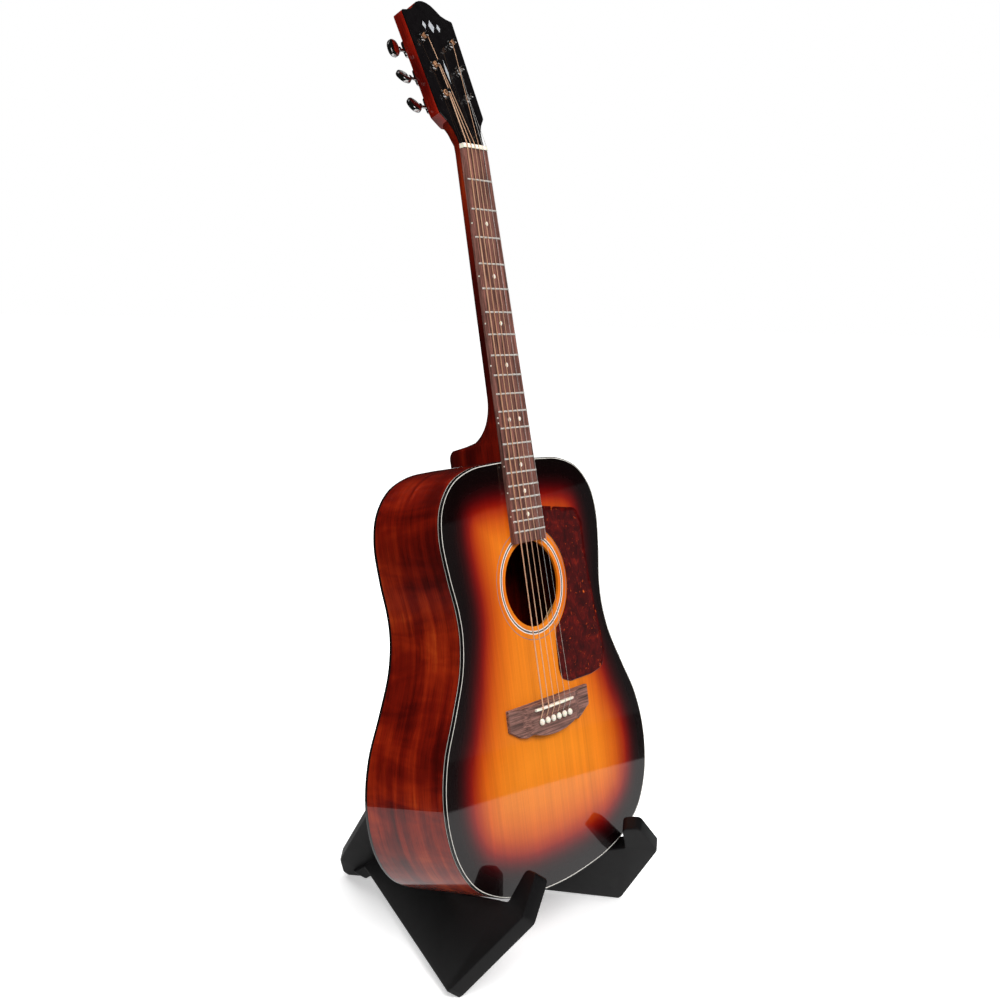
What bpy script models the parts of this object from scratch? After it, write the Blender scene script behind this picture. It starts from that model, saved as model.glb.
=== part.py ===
"""A dreadnought acoustic guitar resting on a black stand of two cross-halved boards. Metres, +Z up.

The stand's boards cross on an inclined line, so each leans inwards over its own foot. The guitar
faces -Y and is modelled in its own frame: x to the treble side, y along the neck towards the head
with the nut at 0, z out of the soundboard. Heights on the body are measured from the soundboard.
"""
import math

import bmesh
import bpy
from mathutils import Matrix, Vector

GAP = 0.0003

# Guitar placing
NUT_HEIGHT = 0.9309
GUITAR_Y = 0.0101
LEAN = math.radians(11.6)
YAW = math.radians(-1.1)

# Strings and fretboard
SCALE = 0.648
FRETS = 20
NUT_WIDTH = 0.043
BODY_Y = -0.361
BODY_BOARD_WIDTH = 0.0555
BOARD_END_Y = -0.457
BOARD_THICK = 0.0062
NECK_RISE = 0.0103
FRET_WIDE, FRET_HIGH = 0.0022, 0.001
STRING_RADII = (0.00018, 0.00022, 0.0003, 0.0004, 0.00052, 0.00066)
NUT_SPREAD, SADDLE_SPREAD = 0.0071, 0.0109
NUT_STRING_Z, SADDLE_STRING_Z = 0.0050, 0.0128
NUT_LENGTH = 0.005
NECK_THICK, HEEL_THICK = 0.0155, 0.092
HEEL_STARTS, HEEL_CAP_Y = -0.285, -0.338
NECK_POINTS = 13

# Body: half width against distance below its upper end
BODY_LENGTH = 0.495
HALF_OUTLINE = (
    (0.0, 0.0), (0.045, 0.0006), (0.084, 0.004), (0.118, 0.017), (0.140, 0.042),
    (0.1476, 0.074), (0.1435, 0.118), (0.136, 0.158), (0.135, 0.186), (0.142, 0.222),
    (0.163, 0.268), (0.183, 0.308), (0.193, 0.350), (0.1925, 0.387), (0.1835, 0.421),
    (0.162, 0.453), (0.126, 0.4755), (0.086, 0.4875), (0.043, 0.493), (0.0, 0.495),
)
OUTLINE_STEPS = 27
NECK_DEPTH, TAIL_DEPTH = 0.098, 0.130
SAG_STARTS = 0.150
SAG_LINEAR, SAG_SQUARE = 0.0049, 0.0025
SAG_KNOTS = (0.150, 0.265, 0.380, 0.495)
PLATE_THICK = 0.003
BINDING_WIDE, BINDING_HIGH = 0.002, 0.004
SIDE_THICK, LINING_WIDE, LINING_HIGH = 0.0023, 0.008, 0.006
HOLE_Y, HOLE_RADIUS = -0.506, 0.050

# X-brace: (distance from the crossing, depth) along each bar, and the bars' direction
BRACE_HALF = 0.004
CROSS_BELOW = 0.224
BRACE_REACH = ((-0.110, 0.004), (-0.060, 0.011), (0.0, 0.014), (0.060, 0.012), (0.160, 0.004))
BRACE_SLOPE = (0.755, 0.656)

# Bridge
BRIDGE_TOP_Y = -0.640
SADDLE_Y, PIN_Y = -0.648, -0.663
BRIDGE_HIGH, BRIDGE_TIP_HIGH = 0.0095, 0.004
BRIDGE_HALF, BRIDGE_FLAT_HALF = 0.077, 0.042
SADDLE_HALF, SADDLE_THICK = 0.036, 0.0028
PIN_RADIUS, PIN_HEAD_RADIUS = 0.0025, 0.0039

# Headstock, in its own frame: x, distance from the nut, height over its face
HEAD_TILT = math.radians(14.0)
HEAD_START_Y, HEAD_START_Z = 0.003, -0.001
HEAD_THICK, OVERLAY_THICK = 0.0155, 0.0015
HEAD_HALF_OUTLINE = (
    (0.0222, 0.0), (0.0224, 0.010), (0.0248, 0.021), (0.0305, 0.031), (0.0392, 0.0405),
    (0.0398, 0.044), (0.0440, 0.168), (0.0436, 0.1705), (0.0340, 0.1722), (0.0260, 0.1752),
    (0.0190, 0.1815), (0.0130, 0.1862), (0.0065, 0.1888), (0.0, 0.1896),
)
POSTS = ((0.0205, 0.065), (0.022, 0.101), (0.025, 0.137))
POST_RADIUS, POST_HIGH = 0.003, 0.0095
POST_STRING_HEIGHTS = (0.0048, 0.0056, 0.0062)
WORM_DROP = 0.0075
WORM_DEPTH = 0.0200
BUTTON_REACH = 0.0145
BUTTON_TURNS = (math.radians(20), math.radians(28), math.radians(-5))

# Stand
BOARD = 0.019
CROSS_Y = 0.1704
RISE = math.radians(34.92)
OPEN = math.radians(44.09)
SLOT_SPLIT = 0.118
BOARD_OUTLINE = (
    (-0.022, 0.0), (0.008, 0.0), (0.022, 0.015), (0.330, 0.0006), (0.337, 0.0), (0.3415, 0.006),
    (0.3835, 0.112), (0.3848, 0.1215), (0.3645, 0.1595), (0.359, 0.1632), (0.346, 0.1600),
    (0.3412, 0.154), (0.3455, 0.1163), (0.206, 0.0690), (0.199, 0.0715), (0.1145, 0.268),
    (0.105, 0.2765), (0.089, 0.2765), (0.080, 0.271), (0.0145, 0.130), (-0.0152, 0.0645),
    (-0.0262, 0.042), (-0.0278, 0.034), (-0.0275, 0.008),
)
FLOOR_CUT = 0.0012
SEAT_LINE = ((0.330, 0.1111), (0.222, 0.0744))
SEAT_PAD = 0.0012
BACK_LINE = ((0.1475, 0.1918), (0.1185, 0.2587))
BACK_PAD = 0.002
PAD_INSET = 0.0015

MATERIALS = {
    "stand_black": ((0.012, 0.012, 0.013), 0.5, 0.0),
    "rubber": ((0.02, 0.02, 0.02), 0.8, 0.0),
    "spruce": ((0.75, 0.30, 0.05), 0.15, 0.0),
    "mahogany": ((0.20, 0.03, 0.01), 0.18, 0.0),
    "bare_wood": ((0.60, 0.42, 0.24), 0.7, 0.0),
    "binding": ((0.80, 0.78, 0.70), 0.3, 0.0),
    "tortoise": ((0.10, 0.015, 0.01), 0.15, 0.0),
    "rosewood": ((0.09, 0.04, 0.03), 0.5, 0.0),
    "bone": ((0.88, 0.85, 0.76), 0.35, 0.0),
    "black_gloss": ((0.008, 0.008, 0.008), 0.1, 0.0),
    "chrome": ((0.80, 0.80, 0.80), 0.12, 1.0),
    "steel": ((0.60, 0.60, 0.60), 0.35, 1.0),
    "bronze": ((0.80, 0.50, 0.28), 0.35, 1.0),
}


def clear_scene():
    for obj in list(bpy.data.objects):
        bpy.data.objects.remove(obj, do_unlink=True)


def make_material(name):
    colour, roughness, metallic = MATERIALS[name]
    material = bpy.data.materials.new(name)
    material.use_nodes = True
    shader = material.node_tree.nodes["Principled BSDF"]
    shader.inputs["Base Color"].default_value = (*colour, 1.0)
    shader.inputs["Roughness"].default_value = roughness
    shader.inputs["Metallic"].default_value = metallic
    return material


def add_empty(name, matrix, parent=None):
    empty = bpy.data.objects.new(name, None)
    bpy.context.scene.collection.objects.link(empty)
    empty.parent = parent
    empty.matrix_local = matrix
    return empty


def add_object(name, bm, material, parent=None, matrix=None):
    """One closed mesh as an object whose points are in its own frame."""
    bmesh.ops.recalc_face_normals(bm, faces=bm.faces)
    mesh = bpy.data.meshes.new(name)
    bm.to_mesh(mesh)
    bm.free()
    mesh.shade_smooth()
    mesh.set_sharp_from_angle(angle=math.radians(30))
    obj = bpy.data.objects.new(name, mesh)
    bpy.context.scene.collection.objects.link(obj)
    obj.data.materials.append(material)
    obj.parent = parent
    if matrix is not None:
        obj.matrix_local = matrix
    return obj


def add_helper(name, bm, parent=None, matrix=None):
    """A cutter or a shape to be joined, left out of the model itself."""
    helper = add_object(name, bm, MADE["steel"], parent, matrix)
    helper.hide_render = True
    helper.display_type = "WIRE"
    return helper


def boolean(obj, other, operation):
    modifier = obj.modifiers.new(other.name, "BOOLEAN")
    modifier.object = other
    modifier.operation = operation
    modifier.solver = "EXACT"


def loft(rings, bm=None):
    """Joins rings of equal point counts by quads and closes both ends."""
    bm = bm or bmesh.new()
    rows = [[bm.verts.new(point) for point in ring] for ring in rings]
    count = len(rows[0])
    for row, following in zip(rows, rows[1:]):
        for i in range(count):
            j = (i + 1) % count
            bm.faces.new((row[i], row[j], following[j], following[i]))
    bm.faces.new(rows[0])
    bm.faces.new(rows[-1])
    return bm


def closed_strip(rings):
    """A ring-shaped solid: each section is joined to the next and the last to the first."""
    bm = bmesh.new()
    rows = [[bm.verts.new(point) for point in ring] for ring in rings]
    count = len(rows[0])
    for k, row in enumerate(rows):
        following = rows[(k + 1) % len(rows)]
        for i in range(count):
            j = (i + 1) % count
            bm.faces.new((row[i], row[j], following[j], following[i]))
    return bm


def turned(profile, sides, centre=(0, 0, 0), axis="Z", bm=None):
    """A turned solid from (radius, height) pairs along an axis."""
    rings = []
    for radius, height in profile:
        ring = []
        for k in range(sides):
            angle = 2 * math.pi * k / sides
            u, v = radius * math.cos(angle), radius * math.sin(angle)
            point = {"Z": (u, v, height), "X": (height, u, v), "Y": (v, height, u)}[axis]
            ring.append(Vector(centre) + Vector(point))
        rings.append(ring)
    return loft(rings, bm)


def box(low, high, bm=None):
    corners = [(low[0], low[1]), (high[0], low[1]), (high[0], high[1]), (low[0], high[1])]
    return loft([[Vector((x, y, z)) for x, y in corners] for z in (low[2], high[2])], bm)


def prism(outline, low, high):
    return loft([[Vector((x, y, z)) for x, y in outline] for z in (low, high)])


def merge_meshes(parts):
    """Several closed meshes in one, for a cutter."""
    whole = bmesh.new()
    for part in parts:
        mesh = bpy.data.meshes.new("part")
        bmesh.ops.recalc_face_normals(part, faces=part.faces)
        part.to_mesh(mesh)
        part.free()
        whole.from_mesh(mesh)
        bpy.data.meshes.remove(mesh)
    return whole


# ---------------------------------------------------------------- curves of the guitar


def fret_y(number):
    return -(SCALE - SCALE / 2 ** (number / 12))


def neck_top_z(y):
    """Top of the neck wood, level with the soundboard at the body."""
    return min((BODY_Y - y) * NECK_RISE, 0.0)


def board_top_z(y):
    return BOARD_THICK + GAP + (BODY_Y - y) * NECK_RISE


def board_half(y):
    return 0.5 * (NUT_WIDTH + (BODY_BOARD_WIDTH - NUT_WIDTH) * y / BODY_Y)


def sag(below):
    """How far the soundboard has dropped at a distance below the body's upper end."""
    u = max(below - SAG_STARTS, 0.0) / (BODY_LENGTH - SAG_STARTS)
    return SAG_LINEAR * u + SAG_SQUARE * u * u


def surface_z(y):
    """The soundboard's height, straight between its knots so that plates stay flat there."""
    below = min(max(BODY_Y - y, SAG_KNOTS[0]), SAG_KNOTS[-1])
    for near, far in zip(SAG_KNOTS, SAG_KNOTS[1:]):
        if below <= far:
            part = (below - near) / (far - near)
            return -(sag(near) * (1 - part) + sag(far) * part)
    return -sag(SAG_KNOTS[-1])


def back_depth(y):
    return NECK_DEPTH + (TAIL_DEPTH - NECK_DEPTH) * (BODY_Y - y) / BODY_LENGTH


def settle(bm):
    """Moves points measured from the soundboard to where the soundboard is."""
    for vert in bm.verts:
        vert.co.z += surface_z(vert.co.y)
    return bm


def spline(points, steps):
    """A centripetal Catmull-Rom curve through the points of a mirrored half outline."""
    inner = [Vector(point) for point in points]
    before = Vector((-inner[1].x, inner[1].y))
    after = Vector((-inner[-2].x, inner[-2].y))
    chain = [before, *inner, after]
    curve = []
    for p0, p1, p2, p3 in zip(chain, chain[1:], chain[2:], chain[3:]):
        t1 = math.sqrt((p1 - p0).length)
        t2 = t1 + math.sqrt((p2 - p1).length)
        t3 = t2 + math.sqrt((p3 - p2).length)
        for k in range(steps):
            t = t1 + (t2 - t1) * k / steps
            a1 = p0.lerp(p1, t / t1)
            a2 = p1.lerp(p2, (t - t1) / (t2 - t1))
            a3 = p2.lerp(p3, (t - t2) / (t3 - t2))
            b1 = a1.lerp(a2, t / t2)
            b2 = a2.lerp(a3, (t - t1) / (t3 - t1))
            curve.append(b1.lerp(b2, (t - t1) / (t2 - t1)))
    curve.append(inner[-1])
    return curve


def even_points(curve, count):
    """The curve resampled to count equal steps."""
    lengths = [0.0]
    for a, b in zip(curve, curve[1:]):
        lengths.append(lengths[-1] + (b - a).length)
    points = []
    k = 0
    for i in range(count + 1):
        wanted = lengths[-1] * i / count
        while k < len(curve) - 2 and lengths[k + 1] < wanted:
            k += 1
        points.append(curve[k].lerp(curve[k + 1], (wanted - lengths[k]) / (lengths[k + 1] - lengths[k])))
    return points


def body_loop():
    """The body's closed outline in guitar x and y, from the upper end round by the treble side."""
    half = even_points(spline(HALF_OUTLINE, 8), OUTLINE_STEPS)
    right = [Vector((point.x, BODY_Y - point.y)) for point in half]
    left = [Vector((-point.x, point.y)) for point in right[-2:0:-1]]
    return right + left


def inset(loop, distance):
    """The loop moved inwards along its own normals."""
    moved = []
    count = len(loop)
    for i, point in enumerate(loop):
        along = (loop[(i + 1) % count] - loop[i - 1]).normalized()
        moved.append(point + Vector((along.y, -along.x)) * distance)
    return moved


# ---------------------------------------------------------------- body


def plate(loop, holes, thick):
    """A flat plate with round holes, cut at the knots so that it can follow the soundboard."""
    bm = bmesh.new()
    for ring in (loop, *holes):
        verts = [bm.verts.new((point[0], point[1], 0)) for point in ring]
        for a, b in zip(verts, verts[1:] + verts[:1]):
            bm.edges.new((a, b))
    bmesh.ops.triangle_fill(bm, use_beauty=True, use_dissolve=False, edges=bm.edges)
    for knot in SAG_KNOTS[:-1]:
        bmesh.ops.bisect_plane(
            bm,
            geom=bm.verts[:] + bm.edges[:] + bm.faces[:],
            plane_co=(0, BODY_Y - knot, 0),
            plane_no=(0, 1, 0),
        )
    raised = bmesh.ops.extrude_face_region(bm, geom=bm.faces[:])["geom"]
    bmesh.ops.translate(bm, vec=(0, 0, thick), verts=[v for v in raised if isinstance(v, bmesh.types.BMVert)])
    return bm


def circle(x, y, radius, sides):
    return [
        (x + radius * math.cos(2 * math.pi * k / sides), y + radius * math.sin(2 * math.pi * k / sides))
        for k in range(sides)
    ]


def pin_places():
    return [(SADDLE_SPREAD * (2.5 - k), PIN_Y) for k in range(6)]


def pin_holes(radius, sides=10):
    return [circle(x, y, radius, sides) for x, y in pin_places()]


def side_section(point, inwards):
    """Section of a side with its glued linings: (inset, height over the back or under the top)."""
    lip = BINDING_WIDE + GAP
    edge, lining = BINDING_HIGH + GAP, PLATE_THICK + GAP
    half = (
        (0, edge), (lip, edge), (lip, lining), (LINING_WIDE, lining),
        (LINING_WIDE, lining + LINING_HIGH), (SIDE_THICK, lining + 2 * LINING_HIGH),
    )
    ring = []
    for distance, height in half:
        ring.append(Vector((*(point + inwards * distance), -height)))
    for distance, height in half[::-1]:
        place = point + inwards * distance
        ring.append(Vector((*place, height - back_depth(place.y))))
    return ring


def add_side(name, loop, sign):
    """One bent side, from the upper end to the tail, stopping short of the body's middle."""
    edge = inset(loop, 0.001)
    rings = []
    for i in range(OUTLINE_STEPS + 1):
        point, inwards = loop[i].copy(), (edge[i] - loop[i]) / 0.001
        if i in (0, OUTLINE_STEPS):
            point.x = GAP / 2
        ring = side_section(point, inwards)
        rings.append([Vector((sign * max(v.x, GAP / 2), v.y, v.z)) for v in ring])
    add_object(name, settle(loft(rings)), MADE["mahogany"], GUITAR)


def add_binding(name, loop, low, high):
    outer, inner = loop, inset(loop, BINDING_WIDE)
    rings = []
    for a, b in zip(outer, inner):
        outer = [Vector((*a, low(a.y))), Vector((*a, high(a.y)))]
        rings.append([*outer, Vector((*b, high(b.y))), Vector((*b, low(b.y)))])
    add_object(name, settle(closed_strip(rings)), MADE["binding"], GUITAR)


def add_body():
    loop = body_loop()
    plate_loop = inset(loop, BINDING_WIDE + GAP)
    hole = circle(0, HOLE_Y, HOLE_RADIUS, 32)
    top = plate(plate_loop, [hole, *pin_holes(PIN_RADIUS + GAP)], -PLATE_THICK)
    add_object("soundboard", settle(top), MADE["spruce"], GUITAR)
    back = plate(plate_loop, [], PLATE_THICK)
    for vert in back.verts:
        vert.co.z -= back_depth(vert.co.y)
    add_object("back_plate", settle(back), MADE["mahogany"], GUITAR)
    add_side("side_treble", loop, 1)
    add_side("side_bass", loop, -1)
    add_binding("top_binding", loop, lambda y: -BINDING_HIGH, lambda y: 0.0)
    add_binding("back_binding", loop, lambda y: -back_depth(y), lambda y: BINDING_HIGH - back_depth(y))


def add_block(name, y_near, y_far, half):
    """A solid end block between the plates, clear of the linings."""
    bm = box((-half, y_far, 0), (half, y_near, 1))
    for vert in bm.verts:
        top = vert.co.z > 0.5
        vert.co.z = -PLATE_THICK - GAP if top else PLATE_THICK + GAP - back_depth(vert.co.y)
    add_object(name, settle(bm), MADE["bare_wood"], GUITAR)


def brace_rings(stations, surface, grow):
    """Sections of a brace that hangs from a plate: (x, y, depth) at each station."""
    start, end = Vector(stations[0][:2]), Vector(stations[-1][:2])
    along = (end - start).normalized()
    side = Vector((-along.y, along.x)) * BRACE_HALF
    rings = []
    for x, y, depth in stations:
        centre = Vector((x, y))
        ring = []
        for sign, down in ((1, 0), (-1, 0), (-0.6, 1), (0.6, 1)):
            place = centre + side * sign
            ring.append(Vector((*place, surface(place.y) + grow * down * depth)))
        rings.append(ring)
    return rings


def under_top(y):
    return -PLATE_THICK - GAP


def over_back(y):
    return PLATE_THICK + GAP - back_depth(y)


def add_x_brace(name, sign, cut_low):
    """One arm of the crossed pair, halved where the two meet."""
    stations = [
        (sign * BRACE_SLOPE[0] * t, BODY_Y - CROSS_BELOW - BRACE_SLOPE[1] * t, depth)
        for t, depth in BRACE_REACH
    ]
    brace = settle(loft(brace_rings(stations, under_top, -1)))
    obj = add_object(name, brace, MADE["bare_wood"], GUITAR)
    height = (-0.030, -0.0102) if cut_low else (-0.0105, 0.001)
    cutter = box((-0.020, -BRACE_HALF - GAP, height[0]), (0.020, BRACE_HALF + GAP, height[1]))
    turn = Matrix.Rotation(math.atan2(-BRACE_SLOPE[1], -sign * BRACE_SLOPE[0]), 4, "Z")
    place = Matrix.Translation((0, BODY_Y - CROSS_BELOW, 0)) @ turn
    boolean(obj, add_helper(name + "_halving", cutter, GUITAR, place), "DIFFERENCE")


def add_inside():
    add_block("neck_block", BODY_Y - LINING_WIDE - 0.0006, BODY_Y - 0.055, 0.034)
    tail_y = BODY_Y - BODY_LENGTH
    add_block("tail_block", tail_y + 0.030, tail_y + LINING_WIDE + 0.0016, 0.030)
    add_x_brace("x_brace_bass", -1, True)
    add_x_brace("x_brace_treble", 1, False)
    plate_loop = [(-0.058, -0.6475), (0.058, -0.6475), (0.058, -0.6795), (-0.058, -0.6795)]
    bridge_plate = plate(plate_loop, pin_holes(PIN_RADIUS + GAP), -0.0025)
    for vert in bridge_plate.verts:
        vert.co.z -= PLATE_THICK + GAP
    add_object("bridge_plate", settle(bridge_plate), MADE["bare_wood"], GUITAR)
    for number, (below, half) in enumerate(((0.085, 0.132), (0.245, 0.138), (0.375, 0.178)), 1):
        y = BODY_Y - below
        stations = [(-half, y, 0.004), (-half / 2, y, 0.012), (half / 2, y, 0.012), (half, y, 0.004)]
        brace = settle(loft(brace_rings(stations, over_back, 1)))
        add_object(f"back_brace_{number}", brace, MADE["bare_wood"], GUITAR)


# ---------------------------------------------------------------- on the soundboard


def bridge_outline():
    """Straight front edge, and a rear edge with two lobes and a belly between them."""
    right = (
        (0.0, -0.6815), (0.018, -0.6803), (0.034, -0.6768), (0.041, -0.6742),
        (0.050, -0.6762), (0.058, -0.6748), (0.070, -0.6680),
        (BRIDGE_HALF, -0.6645), (BRIDGE_HALF, BRIDGE_TOP_Y),
    )
    return [*right, *[(-x, y) for x, y in right[:0:-1]]]


def add_bridge():
    bm = prism(bridge_outline(), GAP, BRIDGE_HIGH)
    for x in (-BRIDGE_FLAT_HALF, BRIDGE_FLAT_HALF):
        bmesh.ops.bisect_plane(
            bm, geom=bm.verts[:] + bm.edges[:] + bm.faces[:], plane_co=(x, 0, 0), plane_no=(1, 0, 0)
        )
    for vert in bm.verts:
        beyond = abs(vert.co.x) - BRIDGE_FLAT_HALF
        if vert.co.z > BRIDGE_HIGH / 2 and beyond > 0:
            vert.co.z -= (BRIDGE_HIGH - BRIDGE_TIP_HIGH) * beyond / (BRIDGE_HALF - BRIDGE_FLAT_HALF)
    bridge = add_object("bridge", settle(bm), MADE["rosewood"], GUITAR)
    low = surface_z(SADDLE_Y) + BRIDGE_HIGH - 0.004
    half, reach = SADDLE_THICK / 2, SADDLE_HALF
    saddle = box((-reach, SADDLE_Y - half, low), (reach, SADDLE_Y + half, SADDLE_STRING_Z - 0.0011))
    add_object("saddle", saddle, MADE["bone"], GUITAR)
    wide = Vector((GAP, GAP, GAP))
    slot = box(Vector((-reach, SADDLE_Y - half, low)) - wide, Vector((reach, SADDLE_Y + half, 0.02)) + wide)
    holes = [prism(ring, -0.02, 0.02) for ring in pin_holes(PIN_RADIUS + GAP)]
    cutter = add_helper("bridge_cuts", merge_meshes([slot, *holes]), GUITAR)
    boolean(bridge, cutter, "DIFFERENCE")
    base = surface_z(PIN_Y) + BRIDGE_HIGH
    head = base + 0.0008
    profile = (
        (PIN_RADIUS * 0.8, base - 0.021), (PIN_RADIUS, head), (PIN_HEAD_RADIUS * 0.85, head),
        (PIN_HEAD_RADIUS, head + 0.0014), (PIN_HEAD_RADIUS * 0.8, head + 0.0030), (0.0012, head + 0.0036),
    )
    for number, (x, y) in enumerate(pin_places(), 1):
        add_object(f"bridge_pin_{number}", turned(profile, 10, (x, y, 0)), MADE["bone"], GUITAR)


def add_pickguard():
    """Teardrop plate whose inner edge follows the ring round the soundhole."""
    reach = 0.0675
    arc = [
        (reach * math.cos(math.radians(a)), HOLE_Y + reach * math.sin(math.radians(a)))
        for a in range(56, -61, -9)
    ]
    rest = (
        (0.0315, -0.580), (0.0305, -0.612), (0.0335, -0.622), (0.041, -0.6285), (0.052, -0.631),
        (0.092, -0.6305), (0.113, -0.6265), (0.122, -0.619), (0.1252, -0.605), (0.121, -0.574),
        (0.1135, -0.530), (0.1105, -0.485), (0.1110, -0.450), (0.1085, -0.4385), (0.1005, -0.430),
        (0.085, -0.4255), (0.0385, -0.4195),
    )
    bm = plate([*arc, *rest], [], 0.0013)
    for vert in bm.verts:
        vert.co.z += GAP
    add_object("pickguard", settle(bm), MADE["tortoise"], GUITAR)


def add_end_pin():
    middle = surface_z(BODY_Y - BODY_LENGTH) - TAIL_DEPTH / 2
    start = BODY_Y - BODY_LENGTH - GAP
    profile = (
        (0.0035, start), (0.0045, start - 0.006), (0.0062, start - 0.009),
        (0.0062, start - 0.011), (0.003, start - 0.0125),
    )
    add_object("end_pin", turned(profile, 14, (0, 0, middle), "Y"), MADE["black_gloss"], GUITAR)


# ---------------------------------------------------------------- neck and head


def neck_thickness(y):
    """The neck deepens slowly, then sweeps down into the heel like a quarter ellipse."""
    plain = NECK_THICK + 0.002 * y / HEEL_STARTS
    if y > HEEL_STARTS:
        return plain
    part = min((y - HEEL_STARTS) / (HEEL_CAP_Y - HEEL_STARTS), 1.0)
    return HEEL_THICK - (HEEL_THICK - plain) * math.sqrt(1 - part * part)


def neck_section(y):
    half, top, thick = board_half(y), neck_top_z(y), neck_thickness(y)
    ring = []
    for k in range(NECK_POINTS):
        angle = math.pi * k / (NECK_POINTS - 1)
        c, s = math.cos(angle), math.sin(angle)
        across = half * math.copysign(abs(c) ** 0.85, c)
        ring.append(Vector((across, y, top - thick * s**0.8)))
    return ring


def add_neck():
    plain = [0.0054, 0.0, -0.07, -0.14, -0.21, HEEL_STARTS]
    heel = [HEEL_STARTS + (HEEL_CAP_Y - HEEL_STARTS) * part for part in (0.4, 0.65, 0.82, 0.92, 0.98, 1.0)]
    stations = [*plain, *heel, BODY_Y + GAP]
    neck = add_object("neck", loft([neck_section(y) for y in stations]), MADE["mahogany"], GUITAR)
    wood = prism(head_outline(0.0028), -HEAD_THICK, -OVERLAY_THICK - GAP)
    boolean(neck, add_helper("head_wood", wood, HEAD), "UNION")
    channel = box((-0.0037, -0.342, -0.0135), (0.0037, 0.024, 0.010))
    boolean(neck, add_helper("rod_channel", channel, GUITAR), "DIFFERENCE")
    boolean(neck, POST_HOLES, "DIFFERENCE")
    rod = ((0.0025, -0.340), (0.0025, 0.006), (0.0033, 0.0062), (0.0033, 0.015), (0.0025, 0.0155))
    add_object("truss_rod", turned(rod, 6, (0, 0, -0.0092), "Y"), MADE["steel"], GUITAR)


def head_outline(start):
    """The head's outline from a given distance behind the nut, with a low crown."""
    half = [(x, max(y, start)) for x, y in HEAD_HALF_OUTLINE]
    return [*half, *[(-x, y) for x, y in half[-2::-1]]]


def add_overlay():
    overlay = add_object(
        "headstock_overlay", prism(head_outline(0.0031), -OVERLAY_THICK, 0.0), MADE["black_gloss"], HEAD
    )
    boolean(overlay, POST_HOLES, "DIFFERENCE")
    access = add_helper("rod_access", box((-0.0042, 0.0055, -0.01), (0.0042, 0.022, 0.01)), HEAD)
    boolean(overlay, access, "DIFFERENCE")
    half = (
        (0.0085, 0.0075), (0.0105, 0.014), (0.0085, 0.026),
        (0.0048, 0.042), (0.0045, 0.058), (0.002, 0.0635),
    )
    outline = [*half, *[(-x, y) for x, y in half[::-1]]]
    add_object("truss_rod_cover", prism(outline, GAP, 0.002), MADE["black_gloss"], HEAD)


def add_fretboard():
    """Tapered board with its frets standing proud, cut from one side profile."""
    top = [(0.0, board_top_z(0.0))]
    for number in range(1, FRETS + 1):
        y = fret_y(number)
        above, below = y + FRET_WIDE / 2, y - FRET_WIDE / 2
        for place, rise in ((above, 0), (above, 1), (below, 1), (below, 0)):
            top.append((place, board_top_z(place) + rise * FRET_HIGH))
    top.append((BOARD_END_Y, board_top_z(BOARD_END_Y)))
    under = [(BOARD_END_Y, GAP), (BODY_Y, GAP), (0.0, neck_top_z(0.0) + GAP)]
    profile = top + under
    rings = [[Vector((sign * board_half(y), y, z)) for y, z in profile] for sign in (-1, 1)]
    add_object("fretboard", loft(rings), MADE["rosewood"], GUITAR)
    half = NUT_WIDTH / 2
    low = neck_top_z(0.0) + GAP
    nut = box((-half, GAP, low), (half, GAP + NUT_LENGTH, NUT_STRING_Z - 0.0010))
    add_object("nut", nut, MADE["bone"], GUITAR)


# ---------------------------------------------------------------- tuners


def post_places():
    """(string number, x, distance from the nut, sign, string height), high string first."""
    places = []
    for k, (x, s) in enumerate(POSTS):
        places.append((1 + k, x, s, 1, k))
        places.append((6 - k, -x, s, -1, k))
    return sorted(places)


def button_outer_x(x, s):
    edge = 0.0398 + (s - 0.044) * (0.0042 / 0.124)
    return edge + BUTTON_REACH


def add_housing(number, x, s, sign):
    """Gear box behind the head with its bushing through it and the washer on the face."""
    low, high = -HEAD_THICK - 0.0105, -HEAD_THICK - GAP
    outer = box((x - 0.0085, s - 0.0125, low), (x + 0.0085, s + 0.0085, high))
    vertical = [e for e in outer.edges if abs(e.verts[0].co.z - e.verts[1].co.z) > 0.001]
    bmesh.ops.bevel(outer, geom=vertical, offset=0.004, segments=2, affect="EDGES", profile=0.5)
    housing = add_object(f"tuner_housing_{number}", outer, MADE["chrome"], HEAD)
    bushing = turned(
        (
            (0.0048, high - 0.001), (0.0048, GAP), (0.0068, GAP), (0.0068, 0.001),
            (0.0055, 0.0012), (0.0052, 0.0030), (0.0045, 0.0034),
        ),
        12, (x, s, 0),
    )
    boolean(housing, add_helper(f"bushing_{number}", bushing, HEAD), "UNION")
    cavity = box((x - 0.0068, s - 0.0108, low + 0.0015), (x + 0.0068, s + 0.0068, high - 0.0017))
    bore = turned(((POST_RADIUS + GAP, high - 0.004), (POST_RADIUS + GAP, 0.006)), 12, (x, s, 0))
    shaft_hole = turned(((0.0026, 0.0), (0.0026, sign * 0.012)), 10, (x, s - WORM_DROP, -WORM_DEPTH), "X")
    for cut_name, cut in (("cavity", cavity), ("bore", bore), ("shaft_hole", shaft_hole)):
        boolean(housing, add_helper(f"{cut_name}_{number}", cut, HEAD), "DIFFERENCE")


def add_post(number, x, s):
    """String post with its gear wheel, on the post's own axis."""
    gear = -HEAD_THICK - 0.0068
    profile = (
        (0.0048, gear), (0.0052, gear + 0.0006), (0.0052, gear + 0.0034), (0.0028, gear + 0.0036),
        (0.0028, 0.0040), (0.0023, 0.0052), (0.0023, 0.0064), (0.0030, 0.0076),
        (0.0030, POST_HIGH), (0.0020, POST_HIGH + 0.0006),
    )
    axis = add_empty(f"post_axis_{number}", Matrix.Translation((x, s, 0)), HEAD)
    add_object(f"string_post_{number}", turned(profile, 12), MADE["chrome"], axis)


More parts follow.
